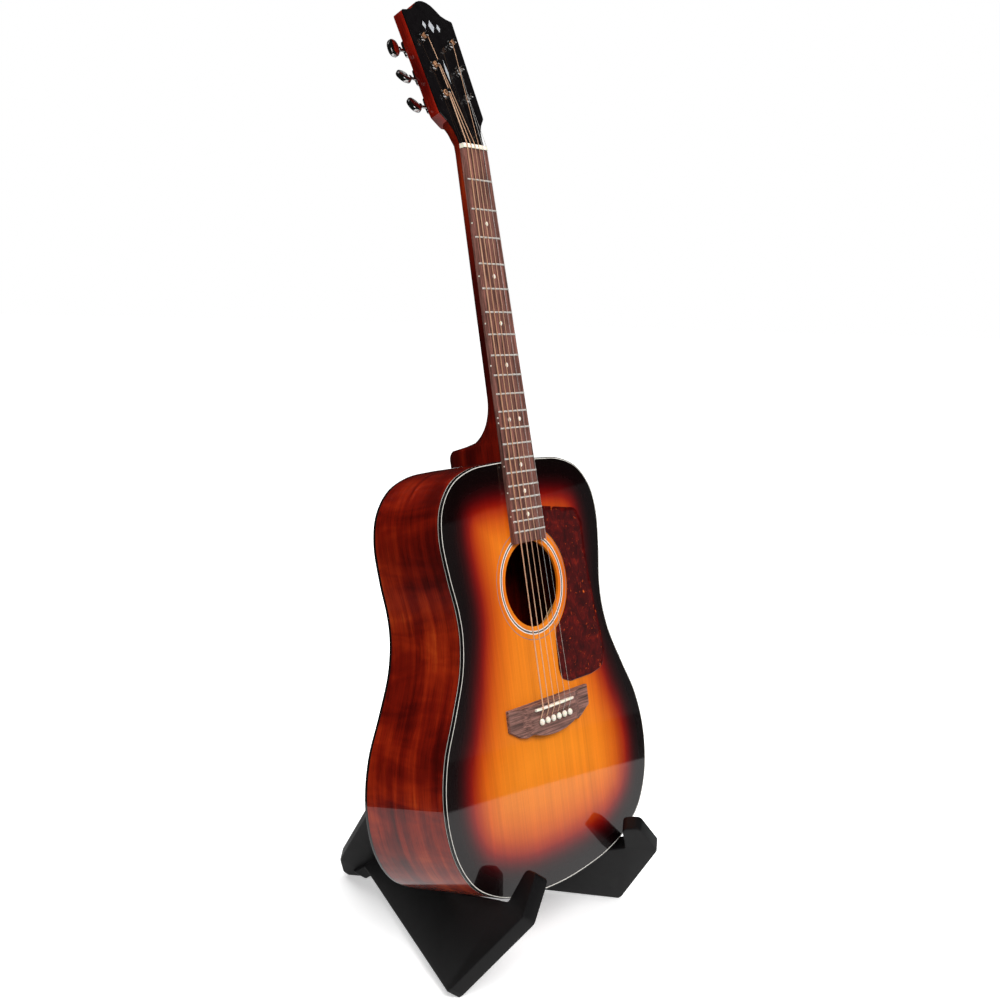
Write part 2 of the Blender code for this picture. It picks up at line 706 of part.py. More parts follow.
def add_button(number, x, s, sign, turn):
    """Button, shaft and worm on the shaft's own axis, which runs across the head."""
    centre = button_outer_x(x, s) * sign - x
    worm, inside = 0.0022, 0.0060
    reach = abs(centre)
    profile = (
        (worm, -inside), (worm, inside), (0.0017, inside + 0.0003), (0.0017, reach - 0.0115),
        (0.0034, reach - 0.0110), (0.0034, reach - 0.0085),
        (0.0024, reach - 0.0080), (0.0024, reach - 0.0040),
    )
    stem = turned([(r, sign * h) for r, h in profile], 10, axis="X")
    place = Matrix.Translation((x, s - WORM_DROP, -WORM_DEPTH))
    axis = add_empty(f"button_axis_{number}", place, HEAD)
    button = add_object(f"tuner_button_{number}", stem, MADE["chrome"], axis)
    knob = bmesh.new()
    bmesh.ops.create_uvsphere(knob, u_segments=12, v_segments=8, radius=1.0)
    shape = Matrix.Diagonal((0.0078, 0.0105, 0.0036, 1.0))
    where = Matrix.Translation((centre, 0, 0)) @ Matrix.Rotation(sign * turn, 4, "X") @ shape
    knob.transform(where)
    boolean(button, add_helper(f"knob_{number}", knob, axis), "UNION")


def add_tuners():
    for number, x, s, sign, k in post_places():
        add_housing(number, x, s, sign)
        add_post(number, x, s)
        add_button(number, x, s, sign, BUTTON_TURNS[k])


# ---------------------------------------------------------------- strings


def head_to_guitar(point):
    return HEAD.matrix_basis @ Vector(point)


def add_string(number, x_post, s_post, sign, k):
    """A taut string from its bridge pin over saddle and nut to the inner side of its post."""
    radius = STRING_RADII[number - 1]
    at_saddle = SADDLE_SPREAD * (3.5 - number)
    at_nut = NUT_SPREAD * (3.5 - number)
    pin_z = surface_z(PIN_Y) + BRIDGE_HIGH + 0.0008 + radius
    end = head_to_guitar(
        (x_post - sign * (POST_RADIUS + GAP + radius), s_post, POST_STRING_HEIGHTS[k])
    )
    points = [
        Vector((at_saddle, PIN_Y + PIN_HEAD_RADIUS + GAP, pin_z)),
        Vector((at_saddle, SADDLE_Y, SADDLE_STRING_Z)),
        Vector((at_nut, GAP, NUT_STRING_Z)),
        Vector((at_nut, NUT_LENGTH, NUT_STRING_Z - 0.0001)),
        end,
    ]
    rings = []
    for i, point in enumerate(points):
        before, after = points[max(i - 1, 0)], points[min(i + 1, len(points) - 1)]
        along = (after - before).normalized()
        across = along.cross(Vector((0, 0, 1))).normalized()
        rise = across.cross(along)
        ring = []
        for j in range(6):
            angle = 2 * math.pi * j / 6
            ring.append(point + (across * math.cos(angle) + rise * math.sin(angle)) * radius)
        rings.append(ring)
    material = MADE["steel"] if number < 3 else MADE["bronze"]
    add_object(f"string_{number}", loft(rings), material, GUITAR)


# ---------------------------------------------------------------- stand


def board_frame(side):
    """Frame of a board (along the floor, up its slope, its normal) and the normal's sense outwards."""
    axis = Vector((0, -math.cos(RISE), math.sin(RISE)))
    lift = Vector((0, math.sin(RISE), math.cos(RISE)))
    across = Vector((side * math.sin(OPEN), 0, 0)) - lift * math.cos(OPEN)
    outwards = axis.cross(across) * side
    along = outwards.cross(Vector((0, 0, 1))).normalized()
    if along.y > 0:
        along = -along
    up = outwards.cross(along)
    if up.z < 0:
        up = -up
    normal = along.cross(up)
    matrix = Matrix((along, up, normal)).transposed().to_4x4()
    matrix.translation = Vector((0, CROSS_Y, 0))
    return matrix, math.copysign(1.0, normal.dot(outwards))


def slot_cutter(other_side, low, high):
    """The other board's slab along the crossing line, with clearance."""
    matrix, sense = board_frame(other_side)
    slab = sorted((-sense * GAP, sense * (BOARD + GAP)))
    line = matrix.to_3x3().inverted() @ Vector((0, -math.cos(RISE), math.sin(RISE)))
    square = Vector((-line.y, line.x, 0))
    wide = square * 0.05
    corners = [line * low - wide, line * low + wide, line * high + wide, line * high - wide]
    return prism([(c.x, c.y) for c in corners], *slab), matrix


def add_board(name, side, low, high):
    matrix, sense = board_frame(side)
    bm = prism(BOARD_OUTLINE, *sorted((0.0, sense * BOARD)))
    matrix = Matrix.Translation((0, 0, -FLOOR_CUT)) @ matrix
    board = add_object(name, bm, MADE["stand_black"], None, matrix)
    boolean(board, FLOOR, "DIFFERENCE")
    cutter, place = slot_cutter(-side, low, high)
    place = Matrix.Translation((0, 0, -FLOOR_CUT)) @ place
    boolean(board, add_helper(name + "_slot", cutter, None, place), "DIFFERENCE")


def add_pad(name, side, line, thick):
    """A thin strip glued along one edge of a board."""
    matrix, sense = board_frame(side)
    matrix = Matrix.Translation((0, 0, -FLOOR_CUT)) @ matrix
    start, end = Vector(line[0]), Vector(line[1])
    along = (end - start).normalized()
    out = Vector((-along.y, along.x))
    if out.y < 0:
        out = -out
    outline = [start + out * GAP, end + out * GAP, end + out * (GAP + thick), start + out * (GAP + thick)]
    width = sorted((sense * PAD_INSET, sense * (BOARD - PAD_INSET)))
    add_object(name, prism([tuple(p) for p in outline], *width), MADE["rubber"], None, matrix)


def add_stand():
    add_board("stand_board_right", 1, SLOT_SPLIT, 0.4)
    add_board("stand_board_left", -1, -0.1, SLOT_SPLIT + GAP)
    for name, side in (("right", 1), ("left", -1)):
        add_pad(f"seat_pad_{name}", side, SEAT_LINE, SEAT_PAD)
        add_pad(f"back_pad_{name}", side, BACK_LINE, BACK_PAD)


clear_scene()
MADE = {name: make_material(name) for name in MATERIALS}
GUITAR = add_empty(
    "guitar_frame",
    Matrix.Translation((0, GUITAR_Y, NUT_HEIGHT))
    @ Matrix.Rotation(YAW, 4, "Z")
    @ Matrix.Rotation(math.pi / 2 - LEAN, 4, "X"),
)
HEAD = add_empty(
    "head_frame",
    Matrix.Translation((0, HEAD_START_Y, HEAD_START_Z)) @ Matrix.Rotation(-HEAD_TILT, 4, "X"),
    GUITAR,
)
FLOOR = add_helper("floor", box((-1, -1, -0.1), (1, 1, 0)))
POST_HOLES = add_helper(
    "post_holes",
    merge_meshes([
        turned(((0.0051, -0.03), (0.0051, 0.01)), 12, (x, s, 0))
        for _, x, s, _, _ in post_places()
    ]),
    HEAD,
)
add_stand()
add_body()
add_inside()
add_bridge()
add_pickguard()
add_end_pin()
add_neck()
add_overlay()
add_fretboard()
add_tuners()
for place in post_places():
    add_string(*place)
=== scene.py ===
"""Looks of the sunburst acoustic guitar on its black two-board stand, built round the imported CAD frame.

Guitar pieces are modelled in the guitar's own frame: x to the treble side, y along the neck with the nut
at 0, z out of the soundboard. Head pieces use the head's frame, which tilts back at the nut.
"""
import math

import bmesh
import bpy
import numpy as np
from mathutils import Matrix, Vector
from mathutils.geometry import delaunay_2d_cdt


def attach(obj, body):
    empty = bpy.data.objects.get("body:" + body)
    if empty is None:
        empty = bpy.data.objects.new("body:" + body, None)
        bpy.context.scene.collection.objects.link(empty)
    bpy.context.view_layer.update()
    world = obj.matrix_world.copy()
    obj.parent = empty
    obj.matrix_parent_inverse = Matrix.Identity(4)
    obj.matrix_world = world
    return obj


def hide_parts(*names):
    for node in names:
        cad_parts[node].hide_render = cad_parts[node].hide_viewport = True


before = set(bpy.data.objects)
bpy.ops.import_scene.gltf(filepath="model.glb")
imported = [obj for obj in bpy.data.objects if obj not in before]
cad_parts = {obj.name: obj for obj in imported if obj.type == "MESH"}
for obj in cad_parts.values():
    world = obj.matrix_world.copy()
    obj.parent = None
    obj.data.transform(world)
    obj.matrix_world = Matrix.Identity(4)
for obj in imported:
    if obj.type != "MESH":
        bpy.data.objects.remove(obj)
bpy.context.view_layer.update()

# Placing
GUITAR = (
    Matrix.Translation((0, 0.0101, 0.9309))
    @ Matrix.Rotation(math.radians(-1.1), 4, "Z")
    @ Matrix.Rotation(math.radians(90 - 11.6), 4, "X")
)
HEAD_IN_GUITAR = Matrix.Translation((0, 0.003, -0.001)) @ Matrix.Rotation(math.radians(-14), 4, "X")
HEAD = GUITAR @ HEAD_IN_GUITAR

# Sizes that the CAD part has too
SCALE, FRETS, NUT_WIDTH, BODY_BOARD_WIDTH = 0.648, 20, 0.043, 0.0555
BODY_Y, BODY_LENGTH, BOARD_END_Y, BOARD_THICK = -0.361, 0.495, -0.457, 0.0065
NECK_RISE, HEEL_START = 0.0103, -0.285
HALF_OUTLINE = (
    (0.0, 0.0), (0.045, 0.0006), (0.084, 0.004), (0.118, 0.017), (0.140, 0.042),
    (0.1476, 0.074), (0.1435, 0.118), (0.136, 0.158), (0.135, 0.186), (0.142, 0.222),
    (0.163, 0.268), (0.183, 0.308), (0.193, 0.350), (0.1925, 0.387), (0.1835, 0.421),
    (0.162, 0.453), (0.126, 0.4755), (0.086, 0.4875), (0.043, 0.493), (0.0, 0.495),
)
NECK_DEPTH, TAIL_DEPTH = 0.098, 0.130
HOLE_Y, HOLE_RADIUS = -0.506, 0.050
SADDLE_Y, PIN_Y, BRIDGE_HIGH = -0.648, -0.663, 0.0095
STRING_RADII = (0.00018, 0.00022, 0.0003, 0.0004, 0.00052, 0.00066)
WINDING_PITCH = 0.00055
NUT_SPREAD, SADDLE_SPREAD = 0.0071, 0.0109
HEAD_THICK = 0.0155
HEAD_HALF_OUTLINE = (
    (0.0222, 0.0), (0.0224, 0.010), (0.0248, 0.021), (0.0305, 0.031), (0.0392, 0.0405),
    (0.0398, 0.044), (0.0440, 0.168), (0.0436, 0.1705), (0.0340, 0.1722), (0.0260, 0.1752),
    (0.0190, 0.1815), (0.0130, 0.1862), (0.0065, 0.1888), (0.0, 0.1896),
)
POSTS = ((0.0205, 0.065), (0.022, 0.101), (0.025, 0.137))
POST_STRING_HEIGHTS, POST_TURNS = (0.0048, 0.0056, 0.0062), (4.2, 3.6, 3.0, 2.6, 2.3, 2.1)
WORM_DROP, WORM_DEPTH = 0.0075, 0.0200
BUTTON_TURNS = (20, 28, -5)
BINDING_DEEP, PURFLING, WOOD_THICK = 0.0042, 0.002, 0.003
HALF_STEPS = 110
DOTTED_FRETS, DOUBLE_DOT = (3, 5, 7, 9, 12, 15, 17, 19), 12

# Stand
BOARD, CROSS_Y, FLOOR_CUT = 0.019, 0.1704, 0.0012
RISE, OPEN = math.radians(34.92), math.radians(44.09)
BOARD_OUTLINE = (
    (-0.022, 0.0, 6), (0.008, 0.0, 8), (0.022, 0.015, 8), (0.330, 0.0006, 30), (0.3375, 0.0, 4),
    (0.3415, 0.006, 6), (0.3848, 0.117, 8), (0.3625, 0.1628, 9), (0.3412, 0.1580, 8),
    (0.3453, 0.1178, 5), (0.2035, 0.0680, 3), (0.1145, 0.268, 10), (0.105, 0.2765, 14), (0.089, 0.2765, 8),
    (0.080, 0.271, 8), (-0.0278, 0.036, 12), (-0.0275, 0.008, 8),
)


# ---------------------------------------------------------------- shapes


def spline(points, steps):
    """A centripetal Catmull-Rom curve through the points of a mirrored half outline."""
    inner = [Vector(point) for point in points]
    chain = [Vector((-inner[1].x, inner[1].y)), *inner, Vector((-inner[-2].x, inner[-2].y))]
    curve = []
    for p0, p1, p2, p3 in zip(chain, chain[1:], chain[2:], chain[3:]):
        t1 = math.sqrt((p1 - p0).length)
        t2 = t1 + math.sqrt((p2 - p1).length)
        t3 = t2 + math.sqrt((p3 - p2).length)
        for k in range(steps):
            t = t1 + (t2 - t1) * k / steps
            share = (t - t1) / (t2 - t1)
            a1, a2, a3 = p0.lerp(p1, t / t1), p1.lerp(p2, share), p2.lerp(p3, (t - t2) / (t3 - t2))
            curve.append(a1.lerp(a2, t / t2).lerp(a2.lerp(a3, (t - t1) / (t3 - t1)), share))
    curve.append(inner[-1])
    return curve


def even_points(curve, count):
    """The curve resampled to count equal steps."""
    lengths = np.concatenate([[0], np.cumsum([(b - a).length for a, b in zip(curve, curve[1:])])])
    wanted = np.linspace(0, lengths[-1], count + 1)
    columns = [np.interp(wanted, lengths, [point[k] for point in curve]) for k in range(len(curve[0]))]
    return [Vector(point) for point in zip(*columns)]


def body_loop():
    """The body's outline, from the neck's end down the treble side and back up the bass side."""
    half = even_points(spline(HALF_OUTLINE, 12), HALF_STEPS)
    right = [Vector((point.x, BODY_Y - point.y)) for point in half]
    return right + [Vector((-point.x, point.y)) for point in right[-2:0:-1]]


def is_clockwise(loop):
    return sum(a[0] * b[1] - a[1] * b[0] for a, b in zip(loop, [*loop[1:], loop[0]])) < 0


def inset(loop, distance):
    """The loop moved inwards along its own normals, mitred at corners."""
    turn = 1 if is_clockwise(loop) else -1
    moved, count = [], len(loop)
    for i, point in enumerate(loop):
        point = Vector(point[:2])
        before = (point - Vector(loop[i - 1][:2])).normalized()
        after = (Vector(loop[(i + 1) % count][:2]) - point).normalized()
        along = (before + after).normalized()
        mitre = max(along.dot(after), 0.5)
        moved.append(point + Vector((along.y, -along.x)) * (turn * distance / mitre))
    return moved


def rounded(corners, steps=6):
    """A loop with each corner (x, y, radius in mm) turned into an arc."""
    loop, count = [], len(corners)
    for i, (x, y, radius) in enumerate(corners):
        here = Vector((x, y))
        before = Vector(corners[i - 1][:2]) - here
        after = Vector(corners[(i + 1) % count][:2]) - here
        half = before.angle(after) / 2
        reach = min(radius / 1000 / math.tan(half), before.length * 0.48, after.length * 0.48)
        start, end = here + before.normalized() * reach, here + after.normalized() * reach
        for k in range(steps + 1):
            t = k / steps
            loop.append(start * (1 - t) ** 2 + here * 2 * t * (1 - t) + end * t * t)
    return loop


def inside(points, loop):
    """Which points lie inside the loop, as a numpy mask."""
    a = np.array([p[:2] for p in loop])
    b = np.roll(a, -1, axis=0)
    x, y = points[:, 0:1], points[:, 1:2]
    crosses = (a[:, 1] > y) != (b[:, 1] > y)
    rise = np.where(b[:, 1] == a[:, 1], 1e-12, b[:, 1] - a[:, 1])
    left = x < (b[:, 0] - a[:, 0]) * (y - a[:, 1]) / rise + a[:, 0]
    return (crosses & left).sum(1) % 2 == 1


def rim_distance(points, loop):
    """How far each point is from the loop, as a numpy array."""
    a = np.array([p[:2] for p in loop])
    ab = np.roll(a, -1, axis=0) - a
    nearest = np.full(len(points), 1e9)
    for start, step in zip(a, ab):
        t = np.clip(((points - start) @ step) / (step @ step), 0, 1)
        nearest = np.minimum(nearest, np.hypot(*(points - start - t[:, None] * step).T))
    return nearest


def filled(loop, holes, spacing):
    """(points, triangles) of the loop filled with an even net, leaving the holes open."""
    rings = [loop, *holes]
    points = [Vector(p[:2]) for ring in rings for p in ring]
    edges, start = [], 0
    for ring in rings:
        edges += [(start + k, start + (k + 1) % len(ring)) for k in range(len(ring))]
        start += len(ring)
    low, high = np.min([p[:2] for p in loop], 0), np.max([p[:2] for p in loop], 0)
    rows = np.arange(low[1], high[1], spacing * 0.87)
    net = np.array([
        (x, y) for j, y in enumerate(rows)
        for x in np.arange(low[0] + spacing * 0.5 * (j % 2), high[0], spacing)
    ])
    keep = inside(net, loop)
    for ring in rings:
        keep &= rim_distance(net, ring) > spacing * 0.5
    for hole in holes:
        keep &= ~inside(net, hole)
    points += [Vector(p) for p in net[keep]]
    found = delaunay_2d_cdt(points, edges, [], 0, 1e-7)
    flat = np.array([tuple(p) for p in found[0]])
    triangles = [f for f in found[2] if len(f) == 3]
    middles = np.array([flat[list(f)].mean(0) for f in triangles])
    keep = inside(middles, loop)
    for hole in holes:
        keep &= ~inside(middles, hole)
    return flat, [f for f, k in zip(triangles, keep) if k]


def plate(loop, holes, low, high, spacing):
    """A plate between two height functions, with its walls, as a bmesh with a rim distance on each point."""
    flat, triangles = filled(loop, holes, spacing)
    far = rim_distance(flat, loop)
    bm = bmesh.new()
    rim = bm.verts.layers.float.new("rim")
    layers = []
    for height in (low, high):
        verts = []
        for (x, y), d in zip(flat, far):
            vert = bm.verts.new((x, y, height(x, y)))
            vert[rim] = d
            verts.append(vert)
        layers.append(verts)
    sides = {}
    for a, b, c in triangles:
        bm.faces.new([layers[1][k] for k in (a, b, c)])
        bm.faces.new([layers[0][k] for k in (c, b, a)])
        for edge in ((a, b), (b, c), (c, a)):
            sides[edge] = sides.get(edge, 0) + 1
    for a, b in sides:
        if (b, a) not in sides:
            bm.faces.new([layers[0][a], layers[0][b], layers[1][b], layers[1][a]])
    return bm


def level(x, y):
    return 0.0


def slab(loop, low, high, edge, steps=3, lift=level, both=True):
    """A plate with rounded edges: rings of the loop, pulled in towards each face, with a cap on each.

    lift is the surface that it lies on; both=False leaves the lower edge sharp.
    """
    net = 1.0 if lift is level else 0.005
    profile = []
    for k in range(steps + 1):
        angle = math.pi / 2 * k / steps
        profile.append((edge * (1 - math.cos(angle)), edge * (1 - math.sin(angle))))
    rows = [(d, high - z) for d, z in profile[::-1]]
    rows += [(d, low + z) for d, z in profile] if both else [(0, low)]
    bm, rings = bmesh.new(), []
    for distance, z in rows:
        flat = inset(loop, distance) if distance > 1e-7 else [Vector(p[:2]) for p in loop]
        rings.append([bm.verts.new((p.x, p.y, z + lift(p.x, p.y))) for p in flat])
    bridge(bm, rings)
    for ring, z in ((rings[0], rows[0][1]), (rings[-1], rows[-1][1])):
        flat, triangles = filled([vert.co for vert in ring], [], net)
        verts = ring + [bm.verts.new((x, y, z + lift(x, y))) for x, y in flat[len(ring):]]
        for triangle in triangles:
            bm.faces.new([verts[k] for k in triangle])
    return bm


def bridge(bm, rings, closed=False, uv=None):
    """Quads between rings of points; uv gives (across, along) coordinates for each ring and point."""
    layer = bm.loops.layers.uv.verify() if uv else None
    pairs = list(zip(range(len(rings)), range(1, len(rings))))
    if closed:
        pairs.append((len(rings) - 1, 0))
    count = len(rings[0])
    for i, j in pairs:
        for k in range(count):
            n = (k + 1) % count
            face = bm.faces.new((rings[i][k], rings[i][n], rings[j][n], rings[j][k]))
            if uv:
                for loop, (r, c) in zip(face.loops, ((i, k), (i, n), (j, n), (j, k))):
                    loop[layer].uv = uv(r, c)


def loft(sections, bm=None, closed=False, uv=None):
    """A skin over sections with equally many points, capped at both ends unless it closes on itself."""
    bm = bm or bmesh.new()
    rings = [[bm.verts.new(p) for p in section] for section in sections]
    bridge(bm, rings, closed, uv)
    if not closed:
        bm.faces.new(rings[0][::-1])
        bm.faces.new(rings[-1])
    return bm


def turned(profile, sides=32, centre=(0, 0, 0), axis="Z", bm=None):
    """A solid of revolution from (radius, height) points."""
    sections = []
    for radius, height in profile:
        section = []
        for k in range(sides):
            angle = 2 * math.pi * k / sides
            c, s = radius * math.cos(angle), radius * math.sin(angle)
            place = {"X": (height, c, s), "Y": (s, height, c), "Z": (c, s, height)}[axis]
            section.append(Vector(place) + Vector(centre))
        sections.append(section)
    return loft(sections, bm)


def tube(path, radius, sides):
    """A round wire along a path."""
    sections, up = [], Vector((0.3, 0, 1))
    for i, point in enumerate(path):
        along = (path[min(i + 1, len(path) - 1)] - path[max(i - 1, 0)]).normalized()
        across = along.cross(up).normalized()
        up = across.cross(along)
        sections.append([
            point + (across * math.cos(a) + up * math.sin(a)) * radius
            for a in (2 * math.pi * k / sides for k in range(sides))
        ])
    return loft(sections)


def link(name, data):
    obj = bpy.data.objects.new(name, data)
    bpy.context.scene.collection.objects.link(obj)
    return obj


def piece(name, bm, material, slot, body="guitar", matrix=GUITAR, replaces=(), sharp=35):
    """A finished piece on its body, smooth but for the edges sharper than the given angle.

    The mesh is turned to its place in the world, and its own coordinates stay in the "place" attribute.
    """
    bmesh.ops.recalc_face_normals(bm, faces=bm.faces)
    mesh = bpy.data.meshes.new(name)
    bm.to_mesh(mesh)
    bm.free()
    places = np.zeros(len(mesh.vertices) * 3, np.float32)
    mesh.vertices.foreach_get("co", places)
    mesh.attributes.new("place", "FLOAT_VECTOR", "POINT").data.foreach_set("vector", places)
    mesh.transform(matrix)
    mesh.materials.append(material)
    obj = link(name, mesh)
    mesh.shade_smooth()
    mesh.set_sharp_from_angle(angle=math.radians(sharp))
    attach(obj, body)
    if replaces:
        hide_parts(*replaces)
    return obj


# ---------------------------------------------------------------- materials


def srgb(r, g, b):
    """An 8-bit screen colour as a linear one."""
    return (*[((c / 255 + 0.055) / 1.055) ** 2.4 if c > 10 else c / 255 / 12.92 for c in (r, g, b)], 1.0)


class Paint:
    """A node-based material with short calls for the nodes that these finishes use."""

    def __init__(self, name, local=False, **settings):
        self.material = bpy.data.materials.new(name)
        self.material.use_nodes = True
        self.tree = self.material.node_tree
        self.shader = self.tree.nodes["Principled BSDF"]
        for key, value in settings.items():
            self.shader.inputs[key.replace("_", " ")].default_value = value
        if local:
            self.place = self.node("ShaderNodeAttribute", attribute_name="place").outputs["Vector"]
        else:
            self.place = self.node("ShaderNodeTexCoord").outputs["Object"]

    def node(self, kind, inputs=(), **settings):
        made = self.tree.nodes.new(kind)
        for key, value in settings.items():
            setattr(made, key, value)
        for key, value in dict(inputs).items():
            if isinstance(value, bpy.types.NodeSocket):
                self.tree.links.new(value, made.inputs[key])
            else:
                made.inputs[key].default_value = value
        return made

    def noise(self, scale, detail, rough=0.55, distortion=0.0):
        """Noise with its own scale along each axis, per metre."""
        vector = self.node("ShaderNodeMapping", {"Vector": self.place, "Scale": scale}).outputs[0]
        inputs = {
            "Vector": vector, "Scale": 1.0, "Detail": detail, "Roughness": rough, "Distortion": distortion,
        }
        return self.node("ShaderNodeTexNoise", inputs).outputs["Fac"]

    def maths(self, operation, a, b=0.0, c=0.0):
        return self.node("ShaderNodeMath", {0: a, 1: b, 2: c}, operation=operation).outputs[0]

    def ramp(self, fac, stops, interpolation="LINEAR"):
        made = self.node("ShaderNodeValToRGB", {"Fac": fac})
        made.color_ramp.interpolation = interpolation
        elements = made.color_ramp.elements
        while len(elements) < len(stops):
            elements.new(0.5)
        for element, (at, colour) in zip(elements, stops):
            element.position = at
            element.color = colour
        return made.outputs["Color"]

    def grey(self, fac, *stops):
        return self.ramp(fac, [(at, (v, v, v, 1.0)) for at, v in stops])

    def mix(self, fac, a, b, blend="MIX"):
        made = self.node("ShaderNodeMix", {"Factor": fac}, data_type="RGBA", blend_type=blend)
        for key, value in (("A", a), ("B", b)):
            socket = [s for s in made.inputs if s.identifier == key + "_Color"][0]
            if isinstance(value, bpy.types.NodeSocket):
                self.tree.links.new(value, socket)
            else:
                socket.default_value = value
        return [s for s in made.outputs if s.identifier == "Result_Color"][0]

    def split(self):
        return self.node("ShaderNodeSeparateXYZ", {0: self.place}).outputs

    def length(self, vector):
        return self.node("ShaderNodeVectorMath", {0: vector}, operation="LENGTH").outputs["Value"]

    def shade(self, colour, by):
        """The colour darkened or lightened by a grey or a number."""
        return self.mix(1.0, colour, by, "MULTIPLY")

    def colour(self, value):
        self.set("Base Color", value)

    def set(self, key, value):
        if isinstance(value, bpy.types.NodeSocket):
            self.tree.links.new(value, self.shader.inputs[key])
        else:
            self.shader.inputs[key].default_value = value

    def bump(self, height, distance, strength=1.0):
        made = self.node("ShaderNodeBump", {"Height": height, "Distance": distance, "Strength": strength})
        self.tree.links.new(made.outputs[0], self.shader.inputs["Normal"])


def gloss(name, rough=0.35, coat_rough=0.03, local=True):
    """A finish under clear polished lacquer: a soft base with a sharp coat."""
    p = Paint(name, local, Roughness=rough, Specular_IOR_Level=0.1)
    p.set("Coat Weight", 1.0)
    p.set("Coat Roughness", coat_rough)
    p.set("Coat IOR", 1.5)
    return p


# The sunburst's colours by their distance in mm from the board's edge
BURST_WIDE = 160
BURST = (
    (0, (9, 4, 4)), (15, (13, 2, 3)), (21, (25, 3, 4)), (27, (42, 2, 4)), (32, (64, 2, 4)),
    (38, (94, 4, 3)), (44, (126, 14, 2)), (50, (156, 40, 2)), (57, (176, 60, 2)), (66, (197, 83, 6)),
    (80, (214, 104, 12)), (100, (226, 121, 20)), (150, (236, 134, 27)),
)
# The inlaid rings round the soundhole by their inner radius in mm from its edge
ROSETTE_WIDE = 20
INK, CREAM, STEEL_GREY, NO_RING = (22, 18, 18), (226, 219, 212), (128, 118, 120), None
ROSETTE = (
    (0.0, NO_RING), (5.1, CREAM), (6.3, INK), (6.9, STEEL_GREY), (7.5, INK), (8.1, CREAM), (9.3, NO_RING),
    (14.9, STEEL_GREY), (15.7, NO_RING),
)


def burst_paint():
    """Spruce with fine straight grain, sprayed from amber to near black, with rings inlaid round the hole."""
    p = gloss("sunburst_spruce")
    rim = p.node("ShaderNodeAttribute", attribute_name="burst").outputs["Fac"]
    cloud = p.noise((9, 9, 9), 2.0)
    depth = p.maths("MULTIPLY_ADD", cloud, 0.006, rim)
    depth = p.maths("MULTIPLY", depth, 1000 / BURST_WIDE)
    burst = p.ramp(depth, [(mm / BURST_WIDE, srgb(*colour)) for mm, colour in BURST])
    grain = p.noise((900, 4, 300), 3.0, 0.6)
    broad = p.noise((70, 0.8, 40), 3.0)
    silk = p.noise((60, 700, 60), 2.0)
    lines = p.maths("MULTIPLY_ADD", p.grey(grain, (0.3, 0.0), (0.7, 1.0)), 0.16, 0.86)
    lines = p.maths("MULTIPLY_ADD", p.grey(broad, (0.3, 0.0), (0.7, 1.0)), 0.20, lines)
    lines = p.maths("MULTIPLY_ADD", silk, 0.06, p.maths("SUBTRACT", lines, 0.13))
    grey = p.node("ShaderNodeCombineColor", {0: lines, 1: lines, 2: lines}).outputs[0]
    wood = p.shade(burst, grey)
    x, y, _ = p.split()
    flat = p.node("ShaderNodeCombineXYZ", {0: x, 1: p.maths("SUBTRACT", y, HOLE_Y)}).outputs[0]
    beyond = p.maths("SUBTRACT", p.length(flat), HOLE_RADIUS)
    share = p.maths("MULTIPLY", beyond, 1000 / ROSETTE_WIDE)
    black, white = (0.0, 0.0, 0.0, 1.0), (1.0, 1.0, 1.0, 1.0)
    rings = [(mm / ROSETTE_WIDE, srgb(*colour) if colour else black) for mm, colour in ROSETTE]
    shown = [(mm / ROSETTE_WIDE, white if colour else black) for mm, colour in ROSETTE]
    p.colour(p.mix(p.ramp(share, shown, "CONSTANT"), wood, p.ramp(share, rings, "CONSTANT")))
    p.bump(grain, 0.00002, 0.25)
    return p.material


MAHOGANY = (
    (0.30, (44, 3, 2)), (0.42, (76, 7, 3)), (0.50, (108, 16, 4)), (0.60, (146, 36, 8)), (0.72, (186, 68, 20)),
)


def mahogany_paint(name, uv=False, bright=1.0):
    """Lacquered ribbon mahogany; the grain runs along the object's y, or along v where uv is set."""
    p = gloss(name)
    if uv:
        p.place = p.node("ShaderNodeUVMap").outputs[0]
    flame = p.noise((10, 26, 10) if uv else (12, 9, 12), 3.0, 0.6, 0.6)
    ribbon = p.noise((55, 3.0, 55), 3.0, 0.6, 0.4)
    pores = p.noise((1300, 25, 1300), 2.0, 0.7)
    broad = p.noise((5, 5, 5), 2.0, 0.5)
    figure = p.maths("MULTIPLY_ADD", ribbon, 0.45, p.maths("MULTIPLY", flame, 0.35))
    figure = p.maths("ADD", figure, p.grey(broad, (0.35, 0.02), (0.65, 0.2)))
    wood = p.ramp(figure, [(at, srgb(*[min(c * bright, 255) for c in tone])) for at, tone in MAHOGANY])
    p.colour(p.shade(wood, p.grey(pores, (0.30, 0.45), (0.52, 1.0))))
    p.bump(pores, 0.00002, 0.2)
    return p.material


def plain_gloss(name, dark, light, rough=0.25, scale=120, coat=1.0):
    """A polished plastic or lacquer with faint mottling."""
    p = gloss(name, rough, local=False)
    p.set("Coat Weight", coat)
    p.colour(p.ramp(p.noise((scale,) * 3, 3.0), [(0.3, srgb(*dark)), (0.7, srgb(*light))]))
    p.bump(p.noise((35, 35, 35), 2.0), 0.0002, 0.1)
    return p.material


